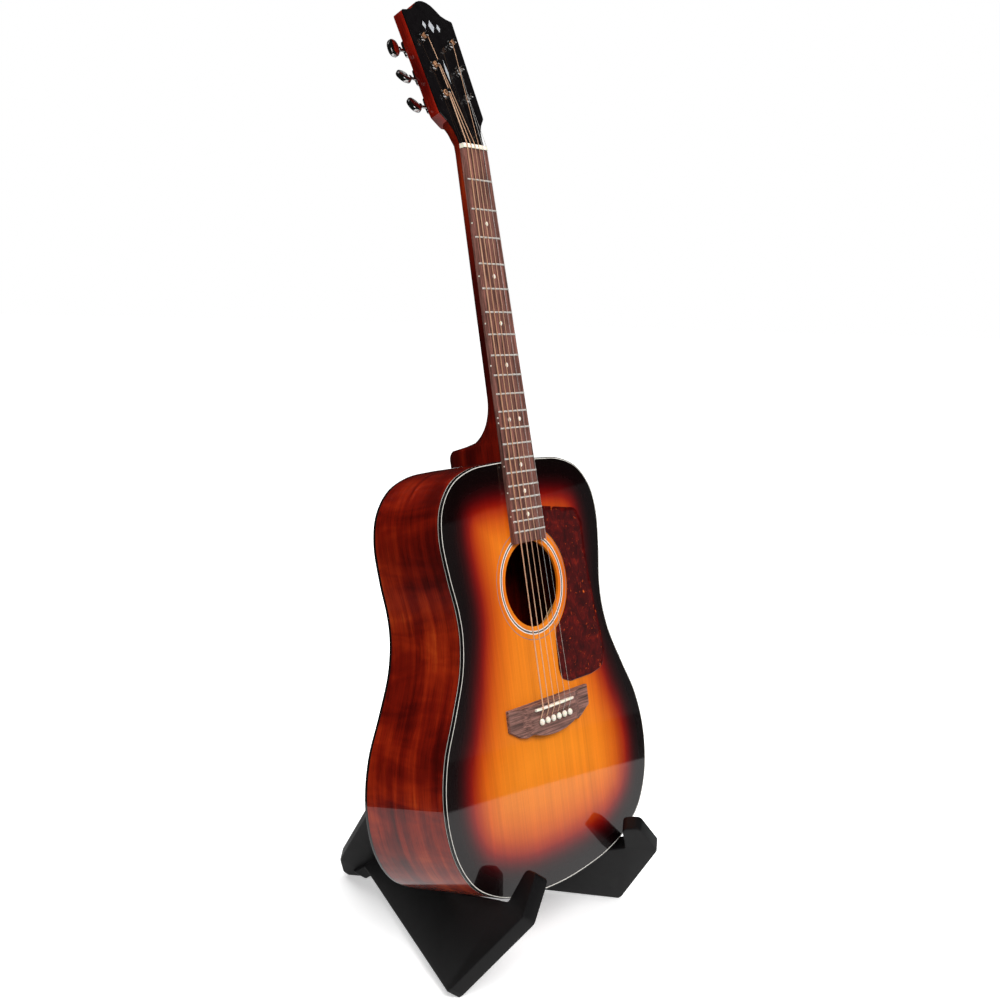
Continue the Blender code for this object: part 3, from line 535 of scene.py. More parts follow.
def rosewood_paint(name, scale, light):
    """Oiled open-pored rosewood; scale is noise per metre along x, y and z."""
    p = Paint(name, True, Roughness=0.42, Specular_IOR_Level=0.5)
    streak = p.noise(scale, 4.0, 0.65, 0.3)
    fine = p.noise(tuple(s * 5 for s in scale), 3.0, 0.7)
    tones = ((0.32, 0.36), (0.48, 0.68), (0.56, 0.84), (0.70, 1.0))
    wood = p.ramp(streak, [(at, srgb(*[c * tone for c in light])) for at, tone in tones])
    p.colour(p.shade(wood, p.grey(fine, (0.36, 0.55), (0.55, 1.0))))
    p.set("Roughness", p.grey(fine, (0.3, 0.6), (0.7, 0.38)))
    p.bump(fine, 0.0001, 0.35)
    return p.material


def bone_paint():
    """Polished bone with faint grain along the string's way."""
    p = Paint("bone", True, Roughness=0.28, Subsurface_Weight=0.15, Subsurface_Scale=0.002)
    grain = p.noise((160, 400, 160), 3.0)
    p.colour(p.ramp(grain, [(0.3, srgb(224, 214, 194)), (0.7, srgb(244, 238, 224))]))
    p.bump(p.noise((600, 600, 600), 2.0), 0.00004, 0.3)
    return p.material


def metal_paint(name, dark, light, rough, scale=(260, 260, 260), metallic=1.0):
    """Metal with faint smears in its colour and its polish."""
    p = Paint(name, Metallic=metallic)
    smear = p.noise(scale, 3.0, 0.6)
    p.colour(p.ramp(smear, [(0.3, srgb(*dark)), (0.7, srgb(*light))]))
    p.set("Roughness", p.grey(smear, (0.3, rough * 0.7), (0.7, rough * 1.4)))
    return p.material


def wound_paint():
    """Bronze wire wound on a core: fine turns along the string."""
    p = Paint("bronze_winding", True, Metallic=0.45, Roughness=0.3)
    y = p.split()[1]
    turns = p.maths("SINE", p.maths("MULTIPLY", y, 2 * math.pi / WINDING_PITCH))
    tint = p.noise((30, 6, 30), 3.0)
    p.colour(p.ramp(tint, [(0.3, srgb(214, 160, 124)), (0.7, srgb(248, 206, 172))]))
    p.bump(turns, 0.00012, 0.5)
    return p.material


def tortoise_paint():
    """Dark red-brown celluloid with clouds and small bright orange flecks under the surface."""
    p = gloss("tortoise", 0.3, 0.02)
    cloud = p.noise((75, 60, 75), 5.0, 0.65, 0.8)
    base = p.ramp(cloud, [
        (0.36, srgb(44, 4, 5)), (0.52, srgb(66, 7, 7)), (0.64, srgb(92, 14, 9)), (0.76, srgb(124, 28, 12)),
    ])
    fleck = p.noise((190, 120, 190), 3.0, 0.5, 1.6)
    glow = p.ramp(fleck, [(0.64, srgb(110, 20, 8)), (0.70, srgb(190, 66, 20)), (0.78, srgb(235, 116, 36))])
    p.colour(p.mix(p.grey(fleck, (0.64, 0.0), (0.70, 0.85)), base, glow))
    return p.material


def stand_paint():
    """Satin black lacquer with a trace of the board's texture and worn, lighter patches."""
    p = Paint("stand_black", Specular_IOR_Level=0.32)
    patch, fine = p.noise((12, 12, 12), 4.0, 0.6), p.noise((900, 900, 900), 3.0, 0.6)
    p.colour(p.ramp(patch, [(0.3, srgb(11, 11, 11)), (0.7, srgb(17, 16, 17))]))
    p.set("Roughness", p.grey(patch, (0.3, 0.42), (0.7, 0.56)))
    p.bump(fine, 0.00012, 0.35)
    return p.material


def rubber_paint():
    """Matt black rubber with a fine tooth."""
    p = Paint("rubber", Roughness=0.75)
    p.colour(p.ramp(p.noise((300, 300, 300), 3.0), [(0.3, srgb(22, 22, 22)), (0.7, srgb(40, 40, 40))]))
    p.bump(p.noise((1500, 1500, 1500), 2.0), 0.0002, 0.5)
    return p.material


def bare_wood_paint():
    """Unfinished spruce, as on the inner braces and blocks."""
    p = Paint("bare_wood", Roughness=0.7)
    grain = p.noise((350, 12, 350), 4.0, 0.6)
    p.colour(p.ramp(grain, [(0.3, srgb(168, 122, 78)), (0.7, srgb(214, 176, 126))]))
    p.bump(grain, 0.0002, 0.4)
    return p.material


def pearl_paint():
    """Mother of pearl, clouded in greys."""
    p = Paint("pearl", Roughness=0.15, Coat_Weight=0.6, Coat_Roughness=0.05)
    p.colour(p.ramp(p.noise((420, 300, 420), 4.0, 0.6, 1.2), [
        (0.3, srgb(110, 126, 140)), (0.5, srgb(176, 180, 178)), (0.62, srgb(150, 146, 162)),
        (0.75, srgb(206, 208, 204)),
    ]))
    return p.material


SPRUCE_TOP = burst_paint()
SIDE_WOOD = mahogany_paint("mahogany_sides", uv=True)
BACK_WOOD = mahogany_paint("mahogany_back")
NECK_WOOD = mahogany_paint("mahogany_neck", bright=0.92)
HEAD_WOOD = mahogany_paint("mahogany_head", bright=1.2)
BLACK = plain_gloss("black_lacquer", (10, 8, 9), (16, 14, 15))
BLACK_BINDING = plain_gloss("black_binding", (12, 10, 10), (20, 17, 17))
WHITE_BINDING = plain_gloss("white_binding", (196, 192, 184), (224, 220, 212), 0.3, 200, 0.6)
BOARD_WOOD = rosewood_paint("rosewood_board", (420, 16, 420), (158, 104, 92))
BRIDGE_WOOD = rosewood_paint("rosewood_bridge", (16, 560, 420), (166, 118, 106))
BONE = bone_paint()
CHROME = metal_paint("chrome", (206, 204, 204), (236, 234, 232), 0.09)
FRET_METAL = metal_paint("nickel_silver", (206, 202, 194), (236, 232, 224), 0.22, metallic=0.4)
STEEL = metal_paint("plain_steel", (190, 186, 182), (222, 218, 212), 0.25, (40, 900, 40), 0.5)
BRONZE = wound_paint()
BRONZE_WRAP = metal_paint("bronze_wraps", (200, 140, 100), (240, 186, 142), 0.28, (900, 900, 900), 0.5)
TORTOISE = tortoise_paint()
STAND = stand_paint()
RUBBER = rubber_paint()
BARE = bare_wood_paint()
PEARL = pearl_paint()


# ---------------------------------------------------------------- body


def top_z(x, y):
    """Height of the soundboard, which leans back smoothly from the soundhole down."""
    level_length = 0.150
    t = BODY_Y - y - level_length
    u = (math.sqrt(t * t + 0.0009) + t) / 2 / (BODY_LENGTH - level_length)
    return -(0.0049 * u + 0.0025 * u * u)


def back_z(x, y):
    """Height of the back, which runs away from the soundboard towards the tail."""
    return top_z(x, y) - (NECK_DEPTH + (TAIL_DEPTH - NECK_DEPTH) * (BODY_Y - y) / BODY_LENGTH)


def circle(x, y, radius, sides=96):
    angles = [2 * math.pi * k / sides for k in range(sides)]
    return [(x + radius * math.cos(a), y + radius * math.sin(a)) for a in angles]


def burst_values(obj):
    """How far each point is into the sunburst, which is wider at the shoulders and narrower at the waist."""
    mesh = obj.data
    count = len(mesh.vertices)
    places, rim = np.zeros(count * 3), np.zeros(count)
    mesh.attributes["place"].data.foreach_get("vector", places)
    mesh.attributes["rim"].data.foreach_get("value", rim)
    y = places[1::3]
    waist = 0.0075 * np.exp(-(((y + 0.585) / 0.055) ** 2))
    shoulders = -0.0045 / (1 + np.exp(-(y + 0.47) / 0.015))
    made = mesh.attributes.new("burst", "FLOAT", "POINT")
    made.data.foreach_set("value", (rim + waist + shoulders).astype(np.float32))


def add_strip(name, loop, section, surface, material, **words):
    """A strip round the body: section gives (inset, height over the surface) points."""
    rings = []
    moved = {d: inset(loop, d) if d else loop for d in {d for d, _ in section}}
    for i in range(len(loop)):
        rings.append([Vector((*moved[d][i], surface(*moved[d][i]) + z)) for d, z in section])
    piece(name, loft(rings, closed=True), material, "binding", **words)


def add_sides(loop):
    """The two bent sides, with their grain laid along them, and the linings inside.

    The two sides take their grain from different stretches of the same figure.
    """
    bent, lining_wide, apart = 0.0023, 0.008, 0.7
    for name, sign in (("side_treble", 1), ("side_bass", -1)):
        outer, inner, lining = (
            [Vector((sign * p.x, p.y)) for p in (inset(loop, d) if d else loop)[:HALF_STEPS + 1]]
            for d in (0, bent, lining_wide)
        )
        lengths = np.concatenate([[0], np.cumsum([(b - a).length for a, b in zip(outer, outer[1:])])])
        rings = []
        for o, i, l in zip(outer, inner, lining):
            high, low = top_z(*o) - BINDING_DEEP, back_z(*o) + BINDING_DEEP
            ring = [Vector((*o, high + (low - high) * k / 10)) for k in range(11)]
            ring += [Vector((*l, low + 0.0005)), Vector((*l, low + 0.006)), Vector((*i, low + 0.012))]
            ring += [Vector((*i, high - 0.012)), Vector((*l, high - 0.006)), Vector((*l, high - 0.0005))]
            rings.append(ring)
        bm = loft(rings, uv=lambda r, c: (-rings[r][c].z, float(lengths[r]) + apart * sign))
        piece(name + "_wood", bm, SIDE_WOOD, "mahogany", replaces=(name,), sharp=50)


def add_strips(loop):
    """The bindings and purflings: black, white and black again on the front edge, black on the back edge."""
    front = [(0, -0.0032), (0, -0.0010), (0.0003, -0.0003), (0.0010, 0), (0.0011, 0), (0.0011, -0.0032)]
    back = [(0, 0.0042), (0, 0.0010), (0.0003, 0.0003), (0.0010, 0), (0.002, 0), (0.002, 0.0042)]
    face = [(0.0011, 0), (0.002, 0), (0.002, -0.003), (0.0011, -0.003)]
    white = [(0, -0.0033), (0, -0.0037), (0.001, -0.0037), (0.001, -0.0033)]
    black = [(0, -0.0038), (0, -0.0043), (0.001, -0.0043), (0.001, -0.0038)]
    add_strip("top_binding_black", loop, front, top_z, BLACK_BINDING, replaces=("top_binding",))
    add_strip("top_purfling", loop, face, top_z, WHITE_BINDING)
    add_strip("side_purfling", loop, white, top_z, WHITE_BINDING)
    add_strip("side_purfling_black", loop, black, top_z, BLACK_BINDING)
    add_strip("back_binding_black", loop, back, back_z, BLACK_BINDING, replaces=("back_binding",))


def add_strap_pin():
    start = BODY_Y - BODY_LENGTH
    middle = (top_z(0, start) + back_z(0, start)) / 2
    profile = (
        (0.0035, 0.001), (0.0038, -0.004), (0.0048, -0.0065), (0.0060, -0.0085), (0.0062, -0.0100),
        (0.0058, -0.0112), (0.0042, -0.0122), (0.0018, -0.0126),
    )
    pin = turned([(radius, start + out) for radius, out in profile], 32, (0, 0, middle), "Y")
    piece("strap_pin", pin, BLACK, "black_gloss", replaces=("end_pin",))


def add_body():
    loop = body_loop()
    board = inset(loop, PURFLING)
    hole = circle(0, HOLE_Y, HOLE_RADIUS)
    top = plate(board, [hole], lambda x, y: top_z(x, y) - WOOD_THICK, top_z, 0.0055)
    made = piece("soundboard_spruce", top, SPRUCE_TOP, "spruce", replaces=("soundboard",), sharp=50)
    burst_values(made)
    back = plate(board, [], back_z, lambda x, y: back_z(x, y) + WOOD_THICK, 0.012)
    piece("back_mahogany", back, BACK_WOOD, "mahogany", replaces=("back_plate",), sharp=50)
    first, last = BODY_Y - 0.004, BODY_Y - 0.491
    line = [(-0.0015, first), (0.0015, first), (0.0015, last), (-0.0015, last)]
    strip = slab(line, -0.0001, 0.0012, 0.0001, 1, back_z)
    piece("back_centre_line", strip, BLACK_BINDING, "binding")
    add_strips(loop)
    add_sides(loop)
    add_strap_pin()


def bridge_loop():
    """The bridge's outline: straight along the front, with a bellied middle and notched wings behind."""
    half = (
        (0.018, -0.6806, 25), (0.034, -0.6768, 12), (0.0405, -0.6738, 6), (0.050, -0.6767, 6),
        (0.058, -0.6748, 8), (0.070, -0.668, 6), (0.077, -0.6645, 2), (0.077, -0.640, 1.2),
    )
    return rounded([*[(-x, y, r) for x, y, r in half[::-1]], (0.0, -0.6818, 30), *half])


def bridge_height(x, y):
    """Top of the bridge: level in the middle, scooped down to thin wings."""
    beyond = max(abs(x) - 0.0395, 0.0) / 0.0375
    scoop = min(beyond * 2.2, 1.0)
    scoop = scoop * scoop * (3 - 2 * scoop)
    return BRIDGE_HIGH - 0.0046 * scoop - 0.0009 * beyond


def add_bridge():
    """The rosewood bridge, as a skin from its crowned top down to the soundboard, with saddle and pins."""
    loop = bridge_loop()
    crown = inset(loop, 0.0009)
    flat, triangles = filled(crown, [], 0.0022)
    bm = bmesh.new()
    caps = [bm.verts.new((x, y, bridge_height(x, y) + top_z(x, y))) for x, y in flat]
    for triangle in triangles:
        bm.faces.new([caps[k] for k in triangle])
    rings = [caps[:len(crown)]]
    for distance, drop in ((0.0003, 0.0002), (0.0, 0.0009)):
        ring = inset(loop, distance) if distance else loop
        rings.append([
            bm.verts.new((p.x, p.y, bridge_height(p.x, p.y) - drop + top_z(p.x, p.y))) for p in ring
        ])
    rings.append([bm.verts.new((p.x, p.y, top_z(p.x, p.y))) for p in loop])
    bridge(bm, rings)
    piece("bridge_rosewood", bm, BRIDGE_WOOD, "rosewood", replaces=("bridge",), sharp=45)
    add_saddle()
    add_bridge_pins()


def add_saddle():
    """A bone blade, arched a little, with its ends rounded down."""
    half, steps, reach = 0.0014, 24, 0.036
    section = ((half, -0.0008), (half * 0.5, 0.0), (-half * 0.5, 0.0), (-half, -0.0008))
    arch = []
    for k in range(steps + 1):
        x = reach * (2 * k / steps - 1)
        fall = 0.0009 * (x / reach) ** 2 + (0.0010 if k in (0, steps) else 0)
        low, high = top_z(0, SADDLE_Y) + 0.006, 0.0122 - fall
        ring = [Vector((x, SADDLE_Y + half, low))]
        ring += [Vector((x, SADDLE_Y + y, high + drop)) for y, drop in section]
        arch.append([*ring, Vector((x, SADDLE_Y - half, low))])
    piece("saddle_bone", loft(arch), BONE, "bone", replaces=("saddle",))


def add_bridge_pins():
    base = top_z(0, PIN_Y) + BRIDGE_HIGH
    shank = ((0.0020, -0.014), (0.0025, 0.0), (0.0029, 0.0004), (0.0029, 0.0007), (0.0037, 0.0010))
    profile = [(radius, base + z) for radius, z in shank]
    angles = (0.0, 0.3, 0.6, 0.9, 1.2, 1.45)
    dome = [(0.0039 * math.cos(a), base + 0.0018 + 0.0026 * math.sin(a)) for a in angles]
    for number in range(1, 7):
        pin = turned(profile + dome, 28, (SADDLE_SPREAD * (3.5 - number), PIN_Y, 0))
        piece(f"bridge_pin_bone_{number}", pin, BONE, "bone", replaces=(f"bridge_pin_{number}",))


def add_pickguard():
    """A thin plate that hugs the rosette and spreads towards the treble side."""
    reach = 0.0675
    angles = [math.radians(a) for a in range(57, -60, -4)]
    arc = [(reach * math.cos(a), HOLE_Y + reach * math.sin(a), 1) for a in angles]
    rest = (
        (0.0315, -0.580, 4), (0.0303, -0.612, 10), (0.0340, -0.6255, 12), (0.050, -0.6312, 14),
        (0.092, -0.6308, 20), (0.1155, -0.6270, 12), (0.1258, -0.6120, 12), (0.1235, -0.590, 30),
        (0.1175, -0.554, 40), (0.1125, -0.514, 40), (0.1105, -0.480, 30), (0.1114, -0.446, 14),
        (0.1020, -0.4275, 14), (0.080, -0.4248, 20), (0.0360, -0.4190, 1),
    )
    guard = slab(rounded([*arc, *rest], 4), 0.0, 0.0014, 0.0005, 3, top_z, both=False)
    piece("pickguard_tortoise", guard, TORTOISE, "tortoise", replaces=("pickguard",), sharp=40)


# ---------------------------------------------------------------- neck and head


def fret_y(number):
    """Place of a fret along the neck, by equal temperament."""
    return -(SCALE - SCALE / 2 ** (number / 12))


def board_half(y):
    return 0.5 * (NUT_WIDTH + (BODY_BOARD_WIDTH - NUT_WIDTH) * y / BODY_Y)


def board_z(x, y):
    """Top of the fretboard, with its slight crown."""
    crown = 0.0004 * (1 - (x / board_half(y)) ** 2)
    return BOARD_THICK - 0.0004 + crown + (BODY_Y - y) * NECK_RISE


def neck_z(y):
    return min((BODY_Y - y) * NECK_RISE, 0.0)


def add_fretboard():
    across, along = 8, 40
    sections = []
    for y in [BOARD_END_Y * (1 - k / along) for k in range(along + 1)]:
        half = board_half(y)
        ring = []
        for k in range(across + 1):
            x = half * (1 - 2 * k / across)
            drop = 0.0005 if k in (0, across) else 0
            ring.append(Vector((x, y, board_z(x, y) - drop)))
        ring += [Vector((-half, y, neck_z(y) + 0.0001)), Vector((half, y, neck_z(y) + 0.0001))]
        sections.append(ring)
    piece("fretboard_rosewood", loft(sections), BOARD_WOOD, "rosewood", replaces=("fretboard",), sharp=50)
    add_frets()
    add_dots()
    add_nut()


def add_frets():
    """Half-round wires across the board, sunk into it, with their ends dressed down."""
    across, half_wide, sunk = 12, 0.0011, 0.0003
    arc = [(half_wide * math.cos(a), math.sin(a)) for a in (math.pi * j / 8 for j in range(9))]
    frets = bmesh.new()
    for number in range(1, FRETS + 1):
        y = fret_y(number)
        sections = []
        for k in range(across + 1):
            x = board_half(y) * (1 - 2 * k / across)
            high = 0.00025 if k in (0, across) else 0.0010
            z = board_z(x, y) - sunk
            sections.append([Vector((x, y + along, z + (high + sunk) * up)) for along, up in arc])
        loft(sections, frets)
    piece("fret_wires", frets, FRET_METAL, "steel", sharp=60)


def add_dots():
    """Position dots on the board's face and on its bass edge, doubled at the octave."""
    dots = bmesh.new()
    for number in DOTTED_FRETS:
        y = (fret_y(number) + fret_y(number - 1)) / 2
        for x in ((-0.0095, 0.0095) if number == DOUBLE_DOT else (0.0,)):
            z = board_z(x, y)
            profile = [(0.0026, z - 0.001), (0.0026, z + 0.00005), (0.0025, z + 0.00012)]
            turned(profile, 28, (x, y, 0), "Z", dots)
        for step in ((-0.003, 0.003) if number == DOUBLE_DOT else (0.0,)):
            half = board_half(y + step)
            profile = [(0.0010, -half + 0.001), (0.0010, -half - 0.00006), (0.0008, -half - 0.0001)]
            turned(profile, 16, (0, y + step, board_z(half, y) - 0.0024), "X", dots)
    piece("inlay_dots", dots, BONE, "bone", sharp=50)


def add_nut():
    """The bone nut, sloped back towards the head."""
    steps, high, bottom = 12, 0.0046, -0.0035
    profile = ((0.0001, 0.0), (0.0012, 0.0002), (0.0038, -0.0004), (0.0054, -0.0016))
    sections = []
    for k in range(steps + 1):
        x = NUT_WIDTH * (k / steps - 0.5)
        top = high - (0.0012 if k in (0, steps) else 0.0)
        ring = [Vector((x, y, top + up)) for y, up in profile]
        sections.append([Vector((x, profile[0][0], bottom)), *ring, Vector((x, profile[-1][0], bottom))])
    piece("nut_bone", loft(sections), BONE, "bone", replaces=("nut",))


def neck_ring(half, top, thick, y, square=0.0, matrix=Matrix()):
    """Section of the neck; square runs from 0 for a round back to 1 for a block."""
    ring, points = [], 25
    for k in range(points):
        angle = math.pi * k / (points - 1)
        c, s = math.cos(angle), math.sin(angle)
        across = half * math.copysign(abs(c) ** (0.85 - 0.7 * square), c)
        ring.append(Vector((across, y, top - thick * s ** (0.8 - 0.65 * square))))
    return [matrix @ p for p in ring]


def heel_depth(y):
    """The neck deepens slowly, sweeps into the heel, and ends in a rounded foot against the body."""
    cap = -0.341
    plain = 0.0155 + 0.002 * y / HEEL_START
    if y > HEEL_START:
        return plain
    part = min((y - HEEL_START) / (cap - HEEL_START), 1.0)
    sweep = 1 - math.sqrt(1 - part * part)
    foot = max(0.0, min(1.0, (cap + 0.004 - y) / 0.014))
    return plain + (0.0745 - plain) * sweep + 0.0205 * math.sqrt(foot * (2 - foot))


def add_neck():
    """The neck from the head's root, where it turns from a block to a round back, down to the heel."""
    outline = HEAD_HALF_OUTLINE[:6]
    roots = (
        (0.0345, 0.75), (0.030, 0.66), (0.0255, 0.5), (0.021, 0.35), (0.0165, 0.22),
        (0.0115, 0.12), (0.0065, 0.05),
    )
    sections = []
    for s, square in roots:
        half = np.interp(s, [p[1] for p in outline], [p[0] for p in outline])
        volute = 0.0022 * math.exp(-(((s - 0.012) / 0.012) ** 2))
        thick = HEAD_THICK - 0.0018 + volute
        sections.append(neck_ring(half - 0.0003, -0.0016, thick, s, square, HEAD_IN_GUITAR))
    stations = [-0.003 - 0.020 * k for k in range(14)] + [HEEL_START - 0.0028 * k for k in range(1, 27)]
    for y in [*stations, BODY_Y + 0.0003]:
        sections.append(neck_ring(board_half(y), neck_z(y), heel_depth(y), y))
    piece("neck_mahogany", loft(sections), NECK_WOOD, "mahogany", replaces=("neck",), sharp=50)


def head_slab(half, low, high, edge, steps, round_steps):
    """A plate of the head, from half of its outline."""
    corners = [(*point, 2.5) for point in [*half, *[(-x, y) for x, y in half[-2::-1]]]]
    return slab(rounded(corners, round_steps), low, high, edge, steps)


def add_head():
    face_thick = 0.0017
    half = [(0.0272, 0.0280), *[(x, y) for x, y in HEAD_HALF_OUTLINE if y > 0.021]]
    block = head_slab(half, -HEAD_THICK, -face_thick, 0.0008, 3, 4)
    piece("head_mahogany", block, HEAD_WOOD, "mahogany", matrix=HEAD, sharp=45)
    half = [(x, max(y, 0.0031)) for x, y in HEAD_HALF_OUTLINE]
    face = head_slab(half, -face_thick, 0.0, 0.0004, 2, 3)
    piece("head_face", face, BLACK, "black_gloss", matrix=HEAD, replaces=("headstock_overlay",))
    half = (
        (0.0085, 0.0075, 1), (0.0105, 0.014, 4), (0.0085, 0.026, 12), (0.0048, 0.042, 12),
        (0.0045, 0.058, 3), (0.0015, 0.0635, 2),
    )
    cover = slab(rounded([*half, *[(-x, y, r) for x, y, r in half[::-1]]], 4), 0.0001, 0.0020, 0.0005, 3)
    piece("rod_cover", cover, BLACK, "black_gloss", matrix=HEAD, replaces=("truss_rod_cover",))
    screws = bmesh.new()
    dome = [(0.0017, 0.0015), (0.0017, 0.0022), (0.0013, 0.0026), (0.0006, 0.00275)]
    for x, s in ((0.0, 0.0585), (-0.0062, 0.0125), (0.0062, 0.0125)):
        turned(dome, 20, (x, s, 0), "Z", screws)
    piece("cover_screws", screws, CHROME, "chrome", matrix=HEAD)
    add_lozenges()


def add_lozenges():
    """Plain pearl lozenges let into the head's face: (x, distance from the nut, half width, half height)."""
    inlay = bmesh.new()
    for x, s, wide, tall in (
        (0.0, 0.097, 0.0022, 0.016), (0.0, 0.1560, 0.0050, 0.0085),
        (-0.0125, 0.1560, 0.0032, 0.0055), (0.0125, 0.1560, 0.0032, 0.0055),
    ):
        corners = [(x + a * wide, s + b * tall) for a, b in ((0, -1), (1, 0), (0, 1), (-1, 0))]
        verts, low = ([inlay.verts.new((*corner, z)) for corner in corners] for z in (0.00006, -0.0008))
        bridge(inlay, [verts, low])
        inlay.faces.new(verts)
        inlay.faces.new(low[::-1])
    piece("head_lozenges", inlay, PEARL, "bone", matrix=HEAD)


# ---------------------------------------------------------------- tuners and strings


def post_places():
    """(string number, x, distance from the nut, side, step from the nut)."""
    places = []
    for k, (x, s) in enumerate(POSTS):
        places += [(1 + k, x, s, 1, k), (6 - k, -x, s, -1, k)]
    return sorted(places)


def add_case(number, x, s, sign):
    """The gear box behind the head, with its washer in front, its screw, and the button's collar."""
    low, high = -HEAD_THICK - 0.0105, -HEAD_THICK + 0.0001
    left, right, near, far = x - 0.0085, x + 0.0085, s - 0.0125, s + 0.0085
    corners = [(left, near, 4), (right, near, 4), (right, far, 4), (left, far, 4)]
    case = slab(rounded(corners, 4), low, high, 0.0012, 3)
    washer = [
        (0.0048, high - 0.001), (0.0048, 0.0), (0.0068, 0.0), (0.0068, 0.0006), (0.0062, 0.0010),
        (0.0055, 0.0012), (0.0052, 0.0028), (0.0048, 0.0032), (0.0036, 0.0033), (0.0034, 0.0020),
    ]
    turned(washer, 36, (x, s, 0), "Z", case)
    screw = [(0.0012, low - 0.0001), (0.0016, low - 0.0006), (0.0009, low - 0.0009)]
    turned(screw, 20, (x, s - 0.0085, 0), "Z", case)
    collar = [(0.0042, 0.0080), (0.0042, 0.0105), (0.0034, 0.0112), (0.0030, 0.0125)]
    centre = (x, s - WORM_DROP, -WORM_DEPTH)
    turned([(radius, sign * out) for radius, out in collar], 28, centre, "X", case)
    replaces = (f"tuner_housing_{number}",)
    piece(f"tuner_case_{number}", case, CHROME, "chrome", matrix=HEAD, replaces=replaces, sharp=40)


def add_post(number, x, s):
    """A string post: its gear in the box, and its waisted end, with a rounded cap, in front."""
    gear = -HEAD_THICK - 0.0068
    profile = [
        (0.0052, gear), (0.0052, gear + 0.0036), (0.0028, gear + 0.0037), (0.0028, 0.0040),
        (0.0025, 0.0050), (0.0023, 0.0056), (0.0024, 0.0066), (0.0028, 0.0074), (0.0031, 0.0080),
        (0.0031, 0.0092), (0.0028, 0.0098), (0.0020, 0.0101),
    ]
    post = turned(profile, 32, (x, s, 0))
    replaces = (f"string_post_{number}",)
    piece(f"tuner_post_{number}", post, CHROME, "chrome", f"post_{number}", HEAD, replaces)


def add_knob(number, x, s, sign, k):
    """A button on its turned shaft: an oval, thick in the middle, turned as its player left it."""
    edge = 0.0398 + (s - 0.044) * (0.0042 / 0.124)
    reach = edge + 0.0145 - sign * x
    stem = [
        (0.0022, -0.006), (0.0022, 0.006), (0.0017, 0.0063), (0.0017, reach - 0.0115),
        (0.0030, reach - 0.0110), (0.0034, reach - 0.0100), (0.0032, reach - 0.0088),
        (0.0022, reach - 0.0080), (0.0026, reach - 0.0050),
    ]
    knob = turned([(r, sign * h) for r, h in stem], 24, (x, s - WORM_DROP, -WORM_DEPTH), "X")
    turn = Matrix.Rotation(sign * math.radians(BUTTON_TURNS[k]), 3, "X")
    centre = Vector((x + sign * reach, s - WORM_DROP, -WORM_DEPTH))
    rim = ((0.55, 0.92), (0.80, 0.90), (0.93, 0.74), (1.0, 0.42), (1.0, 0.14))
    wide, tall, thick, blunt, points = 0.0078, 0.0105, 0.0036, 0.9, 40
    sections = []
    for share, level_up in [*rim, *[(share, -up) for share, up in rim[::-1]]]:
        section = []
        for j in range(points):
            a = 2 * math.pi * j / points
            c, d = (math.copysign(abs(v) ** blunt, v) for v in (math.cos(a), math.sin(a)))
            section.append(turn @ Vector((wide * share * c, tall * share * d, thick * level_up)) + centre)
        sections.append(section)
    loft(sections, knob)
    replaces = (f"tuner_button_{number}",)
    piece(f"tuner_knob_{number}", knob, CHROME, "chrome", f"button_{number}", HEAD, replaces, 50)


def add_tuner(number, x, s, sign, k):
    add_case(number, x, s, sign)
    add_post(number, x, s)
    add_knob(number, x, s, sign, k)


def add_string(number, x, s, sign, k):
    """The straight string, from its pin over saddle and nut to the post, and its wraps, which turn with it."""
    radius, drawn = STRING_RADII[number - 1], 1.12
    at_saddle, at_nut = SADDLE_SPREAD * (3.5 - number), NUT_SPREAD * (3.5 - number)
    waist = 0.0026 + radius
    start = HEAD_IN_GUITAR @ Vector((x - sign * waist, s, POST_STRING_HEIGHTS[k]))
    path = [
        Vector((at_saddle, PIN_Y + 0.0036, top_z(0, PIN_Y) + BRIDGE_HIGH - 0.002)),
        Vector((at_saddle, PIN_Y + 0.0046, top_z(0, PIN_Y) + BRIDGE_HIGH + 0.0006)),
        Vector((at_saddle, SADDLE_Y - 0.002, 0.0118)),
        Vector((at_saddle, SADDLE_Y, 0.0124 + radius * 0.5)),
        Vector((at_nut, 0.0006, 0.0049)),
        Vector((at_nut, 0.0048, 0.0047)),
        start,
    ]
    material, wrap, slot = (STEEL, STEEL, "steel") if number < 3 else (BRONZE, BRONZE_WRAP, "bronze")
    wire = tube(even_path(path), radius * drawn, 10)
    piece(f"string_wire_{number}", wire, material, slot, replaces=(f"string_{number}",), sharp=60)
    turns, steps = POST_TURNS[number - 1], 20
    coil = []
    for i in range(int(turns * steps) + 1):
        a = (math.pi if sign == 1 else 0) + sign * 2 * math.pi * i / steps
        drop = 2.1 * radius * i / steps
        coil.append(Vector((x + waist * math.cos(a), s + waist * math.sin(a), POST_STRING_HEIGHTS[k] - drop)))
    coil.append(Vector((x, s, coil[-1].z)))
    coil = tube(coil, radius * drawn, 8)
    piece(f"string_wraps_{number}", coil, wrap, slot, f"post_{number}", HEAD, sharp=60)


def even_path(points):
    """The path with short rounded corners."""
    path = [points[0]]
    for before, here, after in zip(points, points[1:], points[2:]):
        back, on = before - here, after - here
        reach = min(0.002, back.length * 0.3, on.length * 0.3)
        a, b = here + back.normalized() * reach, here + on.normalized() * reach
        path += [a, a * 0.25 + here * 0.5 + b * 0.25, b]
    return path + [points[-1]]


# ---------------------------------------------------------------- stand


